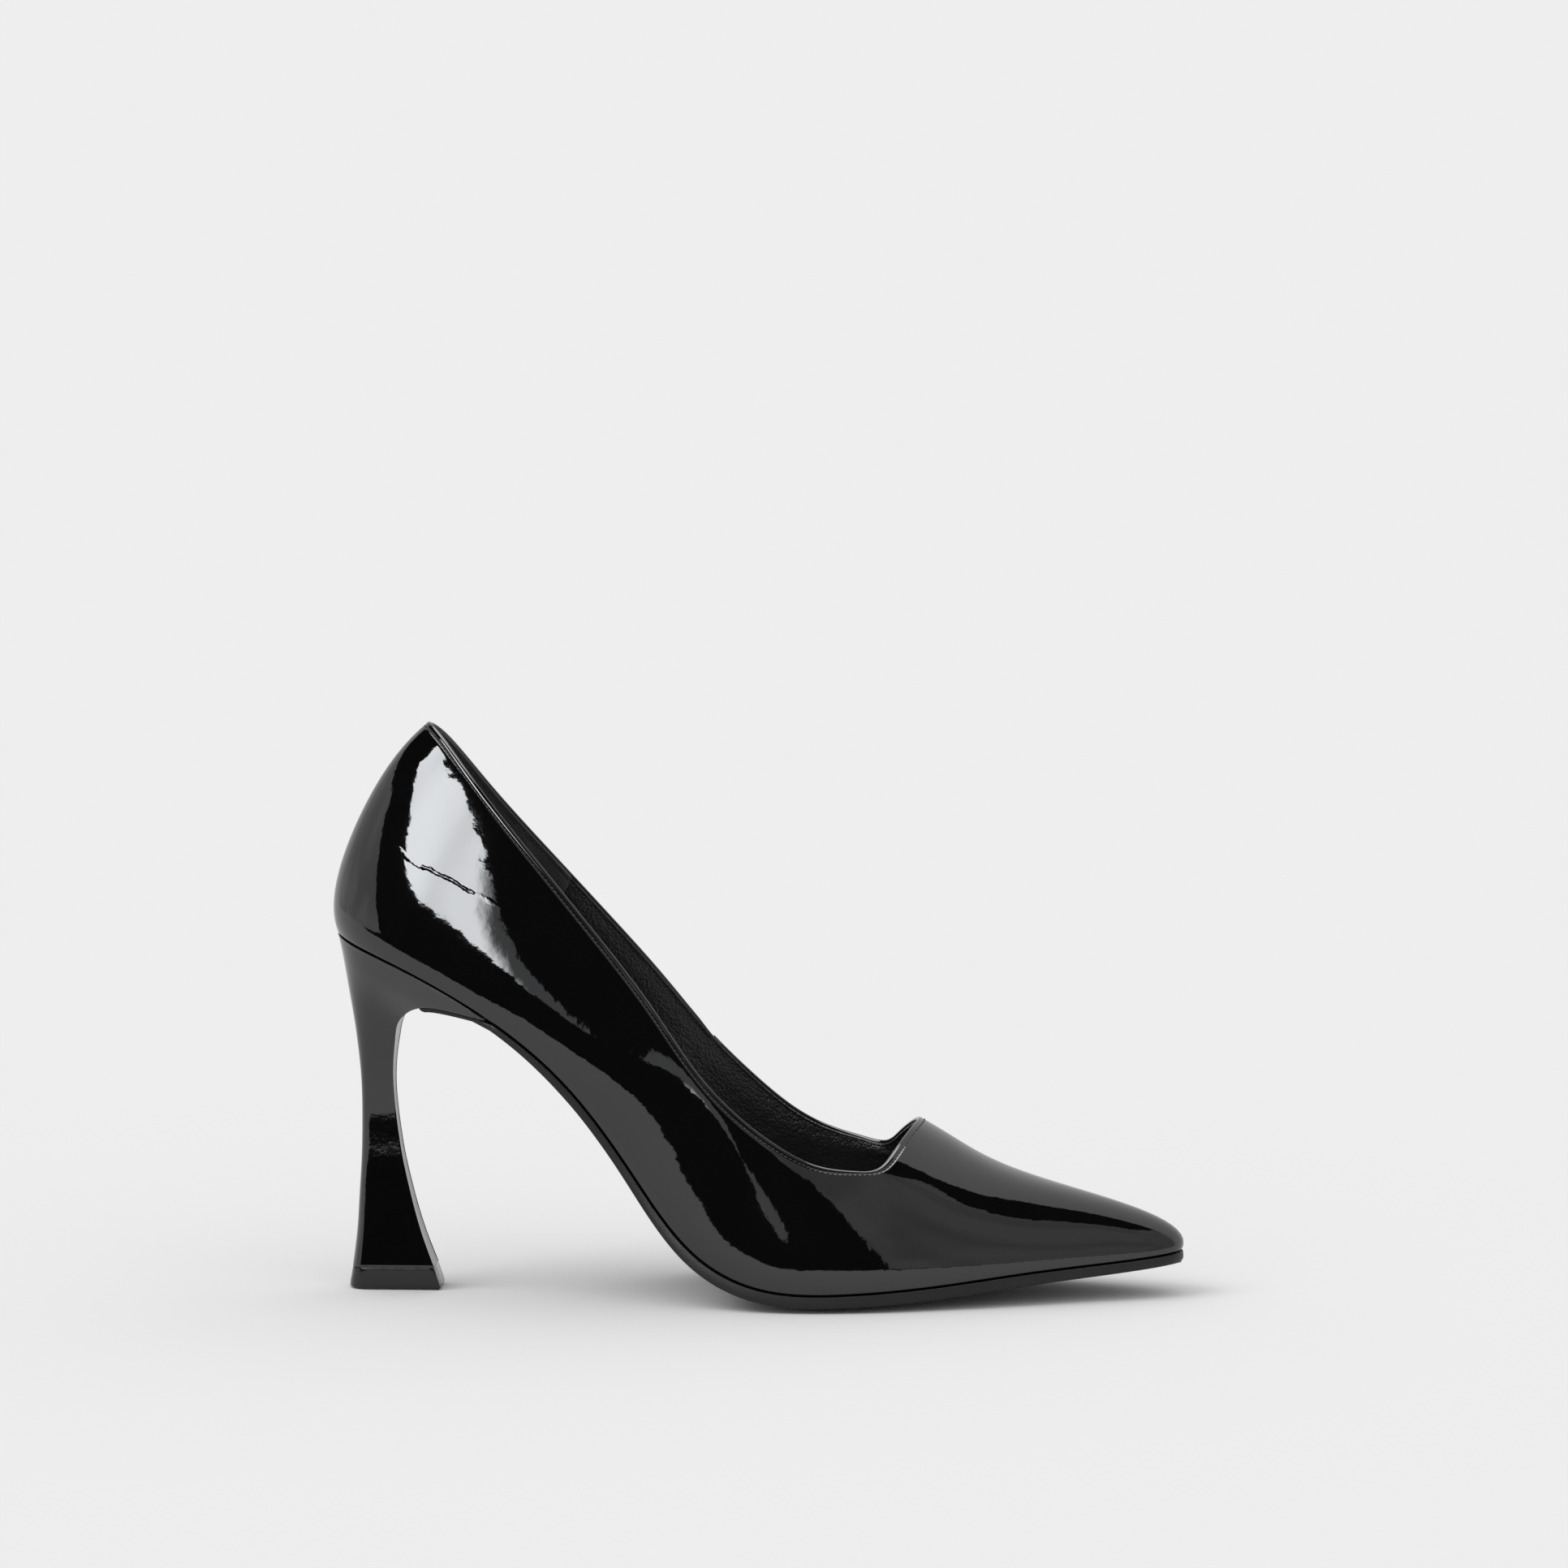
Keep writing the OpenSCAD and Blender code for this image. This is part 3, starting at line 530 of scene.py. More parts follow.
def grip_leather(colours):
    f = Finish("Heel grip suede")
    nap = f.noise(0.35, 4.0)
    rub = f.ramp(f.noise(9.0, 3.0, (1.0, 1.0, 0.5)), 0.4, 0.7)
    return f.surface(
        Base_Color=f.mix(rub, rgba(colours.lining, 1.0), rgba(colours.lining, 1.9)),
        Roughness=rub * -0.1 + 0.62, IOR=1.45, Sheen_Weight=0.12, Sheen_Roughness=0.5,
        Normal=f.bump(nap + f.noise(1.8, 3.0) * 0.8, 0.14))


def sock_leather(colours):
    f = Finish("Sock leather")
    pebble = f.cells(0.6)
    rub = f.ramp(f.noise(18.0, 3.0), 0.4, 0.75)
    return f.surface(
        Base_Color=f.mix(rub, rgba(colours.lining, 0.9), rgba(colours.lining, 1.6)),
        Roughness=rub * -0.1 + 0.5, IOR=1.46,
        Normal=f.bump(pebble * -0.6 + f.noise(2.2, 4.0) * 0.7, 0.14))


def sole_leather(colours):
    f = Finish("Sole leather")
    fibre = f.noise(1.1, 4.0, (0.35, 1.0, 2.4))
    stain = f.noise(12.0, 3.0)
    scuff = f.ramp(f.noise(3.5, 4.0, (0.3, 1.0, 1.0)), 0.58, 0.8)
    dark = f.mix(stain, rgba(colours.sole, 0.8), rgba(colours.sole, 1.35))
    return f.surface(
        Base_Color=f.mix(scuff * 0.5, dark, rgba(colours.sole, 2.6)),
        Roughness=fibre * 0.14 + scuff * 0.1 + 0.40, IOR=1.4,
        Normal=f.bump(fibre + f.noise(0.4, 3.0) * 0.5, 0.035))


def thread_finish(colours):
    f = Finish("Waxed thread")
    twist = f.node("TexWave", {"wave_type": "BANDS", "bands_direction": "DIAGONAL"},
                   Vector=f.place, Scale=1100.0, Distortion=0.5)
    return f.surface(
        Base_Color=f.mix(twist, rgba(colours.thread, 0.7), rgba(colours.thread, 1.3)),
        Roughness=twist * 0.1 + 0.42, IOR=1.5, Normal=f.bump(twist, 0.05))


def tip_plastic(colours):
    f = Finish("Heel tip plastic")
    scratch = f.ramp(f.noise(0.8, 4.0, (0.2, 1.0, 3.0)), 0.56, 0.75)
    return f.surface(
        Base_Color=f.mix(scratch, rgba(colours.tip, 1.0), rgba(colours.tip, 1.8)),
        Roughness=scratch * 0.12 + 0.1, IOR=1.5,
        Normal=f.bump(f.noise(3.0, 1.0) + f.noise(0.5, 2.0) * 0.1, 0.06))


def plain(name, colour, roughness, grain, depth, metallic=0.0, stretch=None):
    """The finish of a hidden part: fibre, foam, board or drawn steel."""
    f = Finish(name)
    speck = f.noise(grain, 4.0, stretch)
    return f.surface(
        Base_Color=f.mix(speck, rgba(colour, 0.75), rgba(colour, 1.25)),
        Roughness=speck * 0.15 + (roughness - 0.07), Metallic=metallic,
        Normal=f.bump(speck, depth))


def made(name):
    """Each finish is made once and shared."""
    if name not in MADE:
        colours = bpy.context.scene.pump_colours
        makers = {"patent": patent, "heel": heel_patent,
                  "strip": strip_leather, "lining": lining_leather,
                  "grip": grip_leather, "sock": sock_leather, "sole": sole_leather,
                  "thread": thread_finish, "tip": tip_plastic}
        MADE[name] = makers[name](colours)
    return MADE[name]


# ---------------------------------------------------------------- settings
def colour_setting(name, note, default):
    return bpy.props.FloatVectorProperty(name=name, description=note, default=default, size=3,
                                         min=0.0, max=1.0, subtype="COLOR")


class PumpColours(bpy.types.PropertyGroup):
    patent: colour_setting("Patent", "Upper and heel covering", (0.0022, 0.0021, 0.0022))
    lining: colour_setting("Lining", "Lining, heel grip and sock", (0.015, 0.0145, 0.0145))
    sole: colour_setting("Sole", "Outsole leather and its edge", (0.0095, 0.0092, 0.0090))
    thread: colour_setting("Thread", "Topline stitching", (0.016, 0.016, 0.017))
    tip: colour_setting("Heel tip", "Replaceable top piece", (0.006, 0.006, 0.0065))


class PumpDetail(bpy.types.PropertyGroup):
    stitch_pitch: bpy.props.FloatProperty(
        name="Stitch pitch", description="From one stitch to the next", default=0.0013,
        min=0.0008, max=0.003, unit="LENGTH")
    stitch_width: bpy.props.FloatProperty(
        name="Stitch width", description="Thickness of one stitch", default=0.00036,
        min=0.0002, max=0.0008, unit="LENGTH")
    groove: bpy.props.FloatProperty(
        name="Stitch groove", description="How far the row sinks into the leather",
        default=0.00014, min=0.0, max=0.0004, unit="LENGTH")
    crown: bpy.props.FloatProperty(
        name="Sock crown", description="Rise of the padded sock along its middle",
        default=0.0008, min=0.0, max=0.002, unit="LENGTH")


class PumpStudio(bpy.types.PropertyGroup):
    backdrop: bpy.props.FloatProperty(
        name="Backdrop", description="Tone of the floor and backdrop", default=0.855,
        min=0.1, max=1.0)
    key: bpy.props.FloatProperty(
        name="Key", description="Strength of the soft light that shapes the shadow",
        default=0.85, min=0.0, max=2.0)
    softbox: bpy.props.FloatProperty(
        name="Softbox", description="Brightness of the softbox seen in the gloss", default=10.5,
        min=0.0, max=50.0)


# ---------------------------------------------------------------- upper
LEATHER = 1.0
RIM_ROWS = np.array((4.6, 3.9, 3.3, 2.8, 2.4, 2.15, 1.95, 1.8, 1.65, 1.5, 1.3, 1.05, 0.8, 0.6))
COLUMN = 1 / 240


def columns(a, b, step=COLUMN):
    """Places from a to b round the shoe, closer together at both ends."""
    n = max(4, int(abs(b - a) / step))
    ts = np.linspace(a, b, n + 1)
    way = math.copysign(1, b - a)
    near = np.array((0.0006, 0.0013, 0.0022, 0.0034)) * way
    return np.concatenate(([a], a + near, ts[1:-1], b - near[::-1], [b]))


def wall_rows(ts, rim=RIM_ROWS, body=34, start=0.0):
    """v for each column and row: even up the wall, then set rows under the topline."""
    top = np.stack([v_below(ts, d) for d in rim], 1)
    k = np.linspace(0, 1, body + 1)[:-1]
    return np.concatenate((start + (top[:, :1] - start) * k, top), 1)


def below_top(ts, v):
    reach = 4 * np.linalg.norm(spline(TOP_PULL, np.abs(wrap(ts))), axis=-1)
    return (1 - v) * reach[:, None]


def rolled_rim(ts, drop, depth, radius, points=7):
    """The folded edge: a half round over the top of a wall."""
    v = v_below(ts, drop)
    up = unit(wall(ts, np.minimum(1, v + 0.004)) - wall(ts, v - 0.004))
    normal, base = wall_normal(ts, v), wall(ts, v)
    turn = np.linspace(0, math.pi, points + 2)[1:-1]
    return np.stack([base - normal * (depth - radius * math.cos(a))[:, None]
                     + up * (radius * math.sin(a))[:, None] for a in turn], 1)


STITCH_DROP, GROOVE_REACH = 1.75, 0.3
# The upper's bottom edge turns under on this radius; rows as shares of it.
FEATHER_ROUND = 0.85
ROUND_ROWS = (0, 0.04, 0.12, 0.24, 0.4, 0.6, 0.8, 1.0)


def seam_round(ts, ends, amount=0.38, reach=0.0016):
    """How far a wall turns in beside its cut ends."""
    total = np.zeros(len(ts))
    for end in ends:
        total += amount * np.exp(-(((ts - end) / reach) ** 2))
    return total


def patent_wall(name, ts, sink, thin=None):
    """One outer leather piece, from under the sole up to its folded edge."""
    detail = bpy.context.scene.pump_detail
    v = wall_rows(ts)
    run = 4 * np.linalg.norm(spline(LOW_PULL, np.abs(wrap(ts))), axis=-1)
    v = np.concatenate((FEATHER_ROUND * np.array(ROUND_ROWS) / run[:, None], v[:, 1:]), 1)
    tt = np.repeat(ts[:, None], v.shape[1], 1)
    d = below_top(ts, v)
    climb = np.clip(1 - v * run[:, None] / FEATHER_ROUND, 0, 1)
    groove = detail.groove / MM * np.exp(-(((d - STITCH_DROP) / GROOVE_REACH) ** 2))
    bead = -0.05 * np.exp(-(((d - 0.85) / 0.4) ** 2))
    depth = sink[:, None] + groove + bead + FEATHER_ROUND * (1 - np.sqrt(1 - climb**2))
    thickness = LEATHER if thin is None else thin[:, None]
    outer = layer(tt, v, depth)
    inner = layer(tt, v, np.maximum(depth + thickness * 0.5, sink[:, None] + thickness))
    foot_out = bottom_edge(ts, np.full(len(ts), 2.6), np.zeros(len(ts)))
    foot_in = bottom_edge(ts, np.full(len(ts), 2.6), np.full(len(ts), 0.9))
    inner[:, 0] = bottom_edge(ts, np.full(len(ts), 1.0), np.full(len(ts), 0.9))
    outer = np.concatenate((foot_out[:, None], outer), 1)
    inner = np.concatenate((foot_in[:, None], inner), 1)
    half = (LEATHER if thin is None else thin) / 2 * np.ones(len(ts))
    cap = rolled_rim(ts, 0.5, sink + half, half)
    piece = wall_piece(name, outer, inner, cap)
    smooth_shade(piece, 60)
    return piece


class PUMP_OT_upper(bpy.types.Operator):
    """Vamp with the outer quarter, and the inner quarter lapped under it at the waist seam"""
    bl_idname = "pump.upper"
    bl_label = "Upper"

    def execute(self, context):
        ts = columns(0.0, SEAM_T - 2)[::-1]
        sink = seam_round(ts, (0.0,))
        thin = LEATHER - 0.15 * smooth(1 - (ts - (SEAM_T - 2)) / 0.03)
        main = patent_wall("upper_vamp_and_outer_quarter", ts, sink, thin)
        finish(main, made("patent"), "patent", "upper_main")
        ts = columns(0.0, SEAM_T + 0.012)
        lap = 0.95 * smooth((ts - (SEAM_T - 0.030)) / 0.030)
        sink = np.maximum(seam_round(ts, (0.0,)), lap)
        quarter = patent_wall("upper_inner_quarter", ts, sink, LEATHER - 0.3 * lap)
        finish(quarter, made("patent"), "patent", "upper_medial_quarter")
        return {"FINISHED"}


# ---------------------------------------------------------------- lining
def lining_depth(d):
    """Outer and inner depth of the lining; it thins towards the topline."""
    k = smooth((d - 0.6) / 6.0)
    return lerp(1.12, 1.98, k), lerp(1.82, 2.8, k)


def lining_wall(name, ts, lift):
    rim = np.array((7.5, 5.8, 4.4, 3.3, 2.5, 2.1, 1.85, 1.65, 1.4, 1.1, 0.8))
    v = wall_rows(ts, rim, 26, 0.03)
    tt = np.repeat(ts[:, None], v.shape[1], 1)
    d = below_top(ts, v)
    near, far = lining_depth(d)
    far = far - 0.08 * np.exp(-(((d - STITCH_DROP) / GROOVE_REACH) ** 2)) + lift[:, None]
    outer, inner = layer(tt, v, near), layer(tt, v, far)
    low, high = lining_depth(np.full(len(ts), 0.8))
    high = high + lift
    cap = rolled_rim(ts, 0.8, (low + high) / 2, (high - low) / 2, 5)
    piece = wall_piece(name, outer, inner, cap)
    smooth_shade(piece, 60)
    return piece


class PUMP_OT_lining(bpy.types.Operator):
    """Vamp lining, the heel grip that laps over it, and the tape inside the topline"""
    bl_idname = "pump.lining"
    bl_label = "Lining"

    def execute(self, context):
        a = LINING_SEAM_T
        ts = columns(-a + 0.02, a - 2 - 0.02)[::-1]
        near = np.minimum(np.abs(ts + a - 0.02), np.abs(ts - (a - 2 - 0.02)))
        vamp = lining_wall("vamp_lining_leather", ts, -0.35 * smooth(1 - (near - 0.016) / 0.02))
        finish(vamp, made("lining"), "lining", "vamp_lining")
        ts = columns(-a, a)
        near = a - np.abs(ts)
        lift = 0.32 * smooth(near / 0.0012) * smooth(1 - (near - 0.01) / 0.03)
        grip = lining_wall("heel_grip_leather", ts, lift)
        finish(grip, made("grip"), "lining", "heel_grip")
        ts = np.linspace(-1, 1, 241)[:-1]
        rows = np.array((6.4, 4.5, 2.6, 1.1))
        v = np.stack([v_below(ts, d) for d in rows], 1)
        tt = np.repeat(ts[:, None], len(rows), 1)
        tape = wall_piece("topline_reinforcing_tape", layer(tt, v, np.full(v.shape, 1.02)),
                          layer(tt, v, np.full(v.shape, 1.1)), closed=True)
        smooth_shade(tape)
        finish(tape, plain("Tape weave", (0.55, 0.52, 0.46), 0.8, 0.6, 0.05), "tape",
               "topline_tape")
        return {"FINISHED"}


# ---------------------------------------------------------------- stitching
def stitch_shape():
    """One stitch along x, 1 long and 1 thick, its ends sunk: a few dozen faces."""
    deselect()
    bpy.ops.mesh.primitive_uv_sphere_add(segments=8, ring_count=6, radius=0.5,
                                         rotation=(0, math.pi / 2, 0))
    ball = bpy.context.object
    bpy.ops.object.transform_apply(location=True, rotation=True, scale=True)
    data = ball.data
    points = np.array([v.co[:] for v in data.vertices])
    faces = [tuple(p.vertices) for p in data.polygons]
    bpy.data.objects.remove(ball)
    points[:, 0] = np.sign(points[:, 0]) * (np.abs(points[:, 0]) * 2) ** 0.8 / 2
    points[:, 2] -= 0.55 * np.abs(points[:, 0] * 2) ** 4
    return points, faces


def sew(name, path, normals, pitch, width, thick=0.8, slant=7.0):
    """A row of stitches along a path; all in millimetres."""
    shape, faces = stitch_shape()
    step = np.linalg.norm(np.diff(path, axis=0), axis=1)
    reach = np.concatenate(([0], np.cumsum(step)))
    count = int(reach[-1] / pitch)
    points, polygons = [], []
    for i in range(count):
        at = (i + 0.5) * reach[-1] / count
        here = np.array([np.interp(at, reach, path[:, k]) for k in range(3)])
        ahead = np.array([np.interp(at + 0.3, reach, path[:, k]) for k in range(3)])
        behind = np.array([np.interp(at - 0.3, reach, path[:, k]) for k in range(3)])
        normal = unit(np.array([np.interp(at, reach, normals[:, k]) for k in range(3)]))
        along = unit(ahead - behind)
        across = unit(np.cross(normal, along))
        turn = math.radians(slant + 2.5 * math.sin(i * 2.4))
        along, across = (along * math.cos(turn) + across * math.sin(turn),
                         across * math.cos(turn) - along * math.sin(turn))
        length = pitch * (0.84 + 0.04 * math.sin(i * 1.7))
        body = (here + np.outer(shape[:, 0] * length, along)
                + np.outer(shape[:, 1] * width, across)
                + np.outer(shape[:, 2] * width * thick, normal))
        polygons += [tuple(k + len(shape) * i for k in face) for face in faces]
        points.append(body)
    data = bpy.data.meshes.new(name)
    data.from_pydata((np.concatenate(points) * MM).tolist(), [], polygons)
    piece = bpy.data.objects.new(name, data)
    bpy.context.scene.collection.objects.link(piece)
    outward(piece)
    smooth_shade(piece, 80)
    return piece


class PUMP_OT_stitching(bpy.types.Operator):
    """The stitch row round the topline, outside and inside, and the rows at the seams"""
    bl_idname = "pump.stitching"
    bl_label = "Stitching"

    def execute(self, context):
        detail = context.scene.pump_detail
        pitch, width = detail.stitch_pitch / MM, detail.stitch_width / MM
        groove = detail.groove / MM
        ts = np.linspace(0.004, 1.996, 1600)
        ts = np.where(ts > 1, ts - 2, ts)
        v = v_below(ts, STITCH_DROP)
        normal = wall_normal(ts, v)
        outer = sew("topline_stitches_outside", layer(ts, v, np.full(len(ts), groove - 0.10)),
                    normal, pitch, width)
        finish(outer, made("thread"), "thread", "topline_stitching")
        far = lining_depth(np.array(STITCH_DROP))[1]
        inner = sew("topline_stitches_inside", layer(ts, v, np.full(len(ts), far + 0.02)),
                    -normal, pitch, width)
        finish(inner, made("thread"), "thread")
        for t, low, depth, out, name in (
                (SEAM_T + 0.009, 0.06, -0.02, 1, "waist_seam_stitches"),
                (LINING_SEAM_T - 0.010, 0.30, 3.08, -1, "grip_stitches_inner_side"),
                (-LINING_SEAM_T + 0.010, 0.30, 3.08, -1, "grip_stitches_outer_side")):
            v = np.linspace(low, float(v_below(np.array(t), 2.6)), 300)
            tt = np.full(300, t)
            d = below_top(np.array([t]), v[None, :])[0]
            offset = np.full(300, depth) if out > 0 else lining_depth(d)[1] + 0.32 - 0.04
            row = sew(name, layer(tt, v, offset), wall_normal(tt, v) * out, pitch * 1.2, width)
            finish(row, made("thread"), "thread")
        return {"FINISHED"}


# ---------------------------------------------------------------- sock
FOAM_END = 0.82


def sock_inset(s):
    return 3.3 + 1.3 * smooth((s - 0.7) / 0.2)


def sock_height(s):
    return 4.3 + 1.3 * smooth((FOAM_END - s) / 0.07) - 0.3 * smooth((s - FOAM_END) / 0.03)


class PUMP_OT_sock(bpy.types.Operator):
    """The padded sock and the foam that crowns it"""
    bl_idname = "pump.sock"
    bl_label = "Sock"

    def ring(self, s, low, high, inset, crown):
        """One slice across the bottom, rounded at both edges."""
        def edge(side, extra, height):
            return bottom_edge(np.array(side * s), np.array(inset + extra), np.array(height))
        y = np.linspace(-1, 1, 25)
        a, b = edge(-1, 0.25, high), edge(1, 0.25, high)
        k = (y[:, None] + 1) / 2
        lift = bottom_normal(np.array(s)) * (crown * (1 - y**2) ** 0.8)[:, None]
        top = lerp(a, b, k) + lift
        under_a, under_b = edge(-1, 0.1, low), edge(1, 0.1, low)
        under = lerp(under_b, under_a, k)
        mid = (low + high) / 2
        return np.concatenate((
            [edge(-1, 0.0, mid)], top, [edge(1, 0.0, mid)], under))

    def execute(self, context):
        crown = context.scene.pump_detail.crown / MM
        stations = np.concatenate((0.002 + 0.05 * np.linspace(0, 1, 9) ** 1.6,
                                   np.linspace(0.06, 0.945, 90)))
        rings = []
        for s in stations:
            fade = float(smooth(s / 0.06))
            rings.append(self.ring(s, sock_height(s) + 0.02, sock_height(s) + 0.82,
                                   sock_inset(s), crown * fade))
        sock = loop_piece("padded_sock", rings)
        smooth_shade(sock, 50)
        finish(sock, made("sock"), "lining", "sock_lining")
        rings = []
        for s in stations[stations < FOAM_END - 0.01]:
            high = min(5.5, sock_height(s) - 0.1)
            rings.append(self.ring(s, 4.02, high, 3.3, 0.0))
        foam = loop_piece("sock_foam_pad", rings)
        smooth_shade(foam, 50)
        finish(foam, plain("Foam cells", (0.62, 0.55, 0.42), 0.9, 0.5, 0.12), "foam", "sock_foam")
        return {"FINISHED"}


# ---------------------------------------------------------------- outsole
def sole_thickness(s):
    return np.where(s < 0.4, lerp(1.7, 2.2, smooth((s - 0.24) / 0.1)),
                    np.where(s < 0.7, lerp(2.2, 3.2, smooth((s - 0.4) / 0.16)),
                             lerp(3.2, 2.6, smooth((s - 0.7) / 0.25))))


def tread_drop():
    s = np.arange(0.5, 0.751, 0.01)
    return float(np.min(spline(FEATHER, s)[:, 2]
                        - (sole_thickness(s) + 0.2) / bottom_normal(s)[:, 2]))


ACROSS = np.concatenate(([-1, -0.985, -0.95, -0.88], np.linspace(-0.78, 0.78, 17),
                         [0.88, 0.95, 0.985, 1]))


def sole_ring(s, drop):
    """One slice of the sole: edge, rounded tread corner, crowned tread."""
    t = float(sole_thickness(s))
    crown = max(0, drop) * float(smooth((s - 0.42) / 0.14)) * (
        1 - 0.4 * float(smooth((s - 0.78) / 0.2)))

    def edge(side, inset, height):
        return bottom_edge(np.array(side * s), np.array(inset), np.array(height))

    profile = [(0.35, -0.2), (-0.16, -0.2), (-0.28, -0.3), (-0.33, -0.2 - t * 0.3),
               (-0.3, -0.2 - t * 0.55), (-0.16, -0.2 - t * 0.8), (0.12, -0.2 - t * 0.95)]
    outer = [edge(-1, *p) for p in profile]
    inner = [edge(1, *p) for p in reversed(profile)]
    a, b = edge(-1, 0.45, -0.2 - t), edge(1, 0.45, -0.2 - t)
    k = (ACROSS[:, None] + 1) / 2
    under = lerp(a, b, k)
    under[:, 2] -= crown * (1 - ACROSS**2)
    return np.concatenate((outer, under, inner))


def flap_ring(r, thin):
    """One slice of the sole's flap, lying on the heel breast."""
    p, n = heel(np.array(r), np.array(1.0)), breast_normal(np.array(r))
    half = p[1] - 1.2
    t = 1.4 * thin

    def at(y, o):
        return np.array((p[0], y, p[2])) + n * (0.1 + o)

    profile = [(half - 0.6, 0), (half - 0.1, 0), (half, 0.08), (half + 0.03, t * 0.3),
               (half, t * 0.55), (half - 0.1, t * 0.8), (half - 0.25, t * 0.95)]
    outer = [at(-y, o) for y, o in profile]
    inner = [at(y, o) for y, o in reversed(profile)]
    under = np.array([at(y * (half - 0.5), t + 0.2 * (1 - y * y) * thin) for y in ACROSS])
    return np.concatenate((outer, under, inner))


class PUMP_OT_outsole(bpy.types.Operator):
    """The leather outsole with its trimmed edge and the flap on the heel breast"""
    bl_idname = "pump.outsole"
    bl_label = "Outsole"

    def execute(self, context):
        drop = tread_drop()
        rings = [flap_ring(r, k) for r, k in (
            (0.846, 0.35), (0.852, 0.75), (0.862, 1.0), (0.875, 1.0), (0.89, 1.0), (0.905, 1.0),
            (0.92, 1.0), (0.935, 1.0), (0.95, 1.0), (0.965, 1.0))]
        stations = np.concatenate((np.linspace(0.243, 0.94, 130),
                                   0.94 + 0.0575 * (1 - (1 - np.linspace(0, 1, 16)) ** 1.7)[1:]))
        rings += [sole_ring(s, drop) for s in stations]
        sole = loop_piece("leather_outsole", rings)
        smooth_shade(sole, 42)
        finish(sole, made("sole"), "sole_leather", "outsole")
        return {"FINISHED"}


# ---------------------------------------------------------------- heel
class PUMP_OT_heel(bpy.types.Operator):
    """The leather covering wrapped round the heel and the strip on its breast"""
    bl_idname = "pump.heel"
    bl_label = "Heel covering"

    def execute(self, context):
        r = np.concatenate((np.linspace(0, 0.56, 34), np.linspace(0.575, 1, 40)))
        p = np.linspace(-1, 1, 89)
        rr, pp = np.meshgrid(r, p)
        outer = heel_under(rr, pp, 0.0)
        inner = heel_under(rr, pp * 0.998, 0.55)
        outer[:, 0, 2] = inner[:, 0, 2] = HEEL_Z[0]
        outer[:, 1:, 2] = np.maximum(outer[:, 1:, 2], HEEL_Z[0] + 0.2)
        inner[:, 1:, 2] = np.maximum(inner[:, 1:, 2], HEEL_Z[0] + 0.2)
        wrap_piece = wall_piece("heel_wrap_leather", outer, inner)
        soften(wrap_piece, 0.14, 3, 48)
        smooth_shade(wrap_piece, 40)
        finish(wrap_piece, made("heel"), "patent", "heel_cover")

        rows = np.linspace(0, 0.90, 60)
        w = np.maximum(1, np.abs(heel_under(rows, np.full(len(rows), 1.0), 0.6)[:, 1]))
        base, n = heel(rows, np.full(len(rows), 1.0)), breast_normal(rows)
        y = np.linspace(-1, 1, 15)
        faces = []
        for depth in (0.06, 0.5):
            face = base[:, None, :] - n[:, None, :] * depth * np.ones((1, len(y), 1))
            face = face - n[:, None, :] * (0.12 * (1 - y**2))[None, :, None]
            face[..., 1] = w[:, None] * y[None, :]
            face[0, :, 2] = HEEL_Z[0]
            faces.append(face)
        panel = wall_piece("heel_breast_strip", faces[0].transpose(1, 0, 2),
                           faces[1].transpose(1, 0, 2))
        soften(panel, 0.1, 2, 48)
        smooth_shade(panel, 40)
        finish(panel, made("strip"), "patent", "breast_cover")
        return {"FINISHED"}


class PUMP_OT_top_piece(bpy.types.Operator):
    """The replaceable plastic top piece under the heel"""
    bl_idname = "pump.top_piece"
    bl_label = "Top piece"

    def execute(self, context):
        p = np.linspace(-1, 1, 65)
        tip = heel(np.zeros(65), p)
        spread = TIP_LENGTH / HEEL_DEPTH[0] - 1
        levels = [(0.0, spread - 0.045), (0.12, spread - 0.022), (0.35, spread - 0.004),
                  (0.6, spread), (1.6, spread * 0.84), (3.0, spread * 0.52), (4.4, spread * 0.22),
                  (5.2, spread * 0.04), (5.45, -0.006), (5.6, -0.03)]
        rings = []
        for z, g in levels:
            centre = CENTRE_X[0] + 0.45 * (1 - z / TIP_HEIGHT)
            rings.append(np.stack((centre + (tip[:, 0] - CENTRE_X[0]) * (1 + g),
                                   tip[:, 1] * (1 + g * 0.3), np.full(65, z)), 1))
        block = loop_piece("heel_tip_block", rings)
        soften(block, 0.22, 3, 55)
        smooth_shade(block, 35)
        finish(block, made("tip"), "top_piece_plastic", "top_piece")
        return {"FINISHED"}


# ---------------------------------------------------------------- hidden parts
class PUMP_OT_inside(bpy.types.Operator):
    """Finishes for the stiffeners, boards, shank and fasteners inside the shoe"""
    bl_idname = "pump.inside"
    bl_label = "Inside parts"

    def execute(self, context):
        steel = plain("Shank steel", (0.42, 0.43, 0.45), 0.32, 0.5, 0.01, 1.0, (0.15, 1.0, 1.0))
        board = plain("Fibre board", (0.30, 0.22, 0.14), 0.85, 0.9, 0.06)
        stiff = plain("Stiffener felt", (0.34, 0.28, 0.20), 0.85, 0.7, 0.06)
        finishes = {
            "heel_counter": stiff, "toe_puff": stiff,
            "interlining": plain("Interlining cloth", (0.55, 0.53, 0.48), 0.9, 0.5, 0.05),
            "insole_board": board, "shank_board": board,
            "forepart_filler": plain("Cork filler", (0.30, 0.17, 0.09), 0.9, 1.6, 0.2),
            "heel_core": plain("Heel plastic", (0.05, 0.05, 0.05), 0.45, 2.0, 0.02),
            "steel_shank": steel, "shank_rivets": steel, "heel_pin": steel,
            "top_piece_dowel": steel, "heel_screw": steel, "heel_nails": steel}
        for name, material in finishes.items():
            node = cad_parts[name]
            node.data.materials.clear()
            node.data.materials.append(material)
        return {"FINISHED"}


# ---------------------------------------------------------------- stage
AIM = Vector((0.103, 0.0, 0.1348))
CAMERA_DISTANCE, CAMERA_TURN, CAMERA_RISE = 1.8, 3.0, 5.55


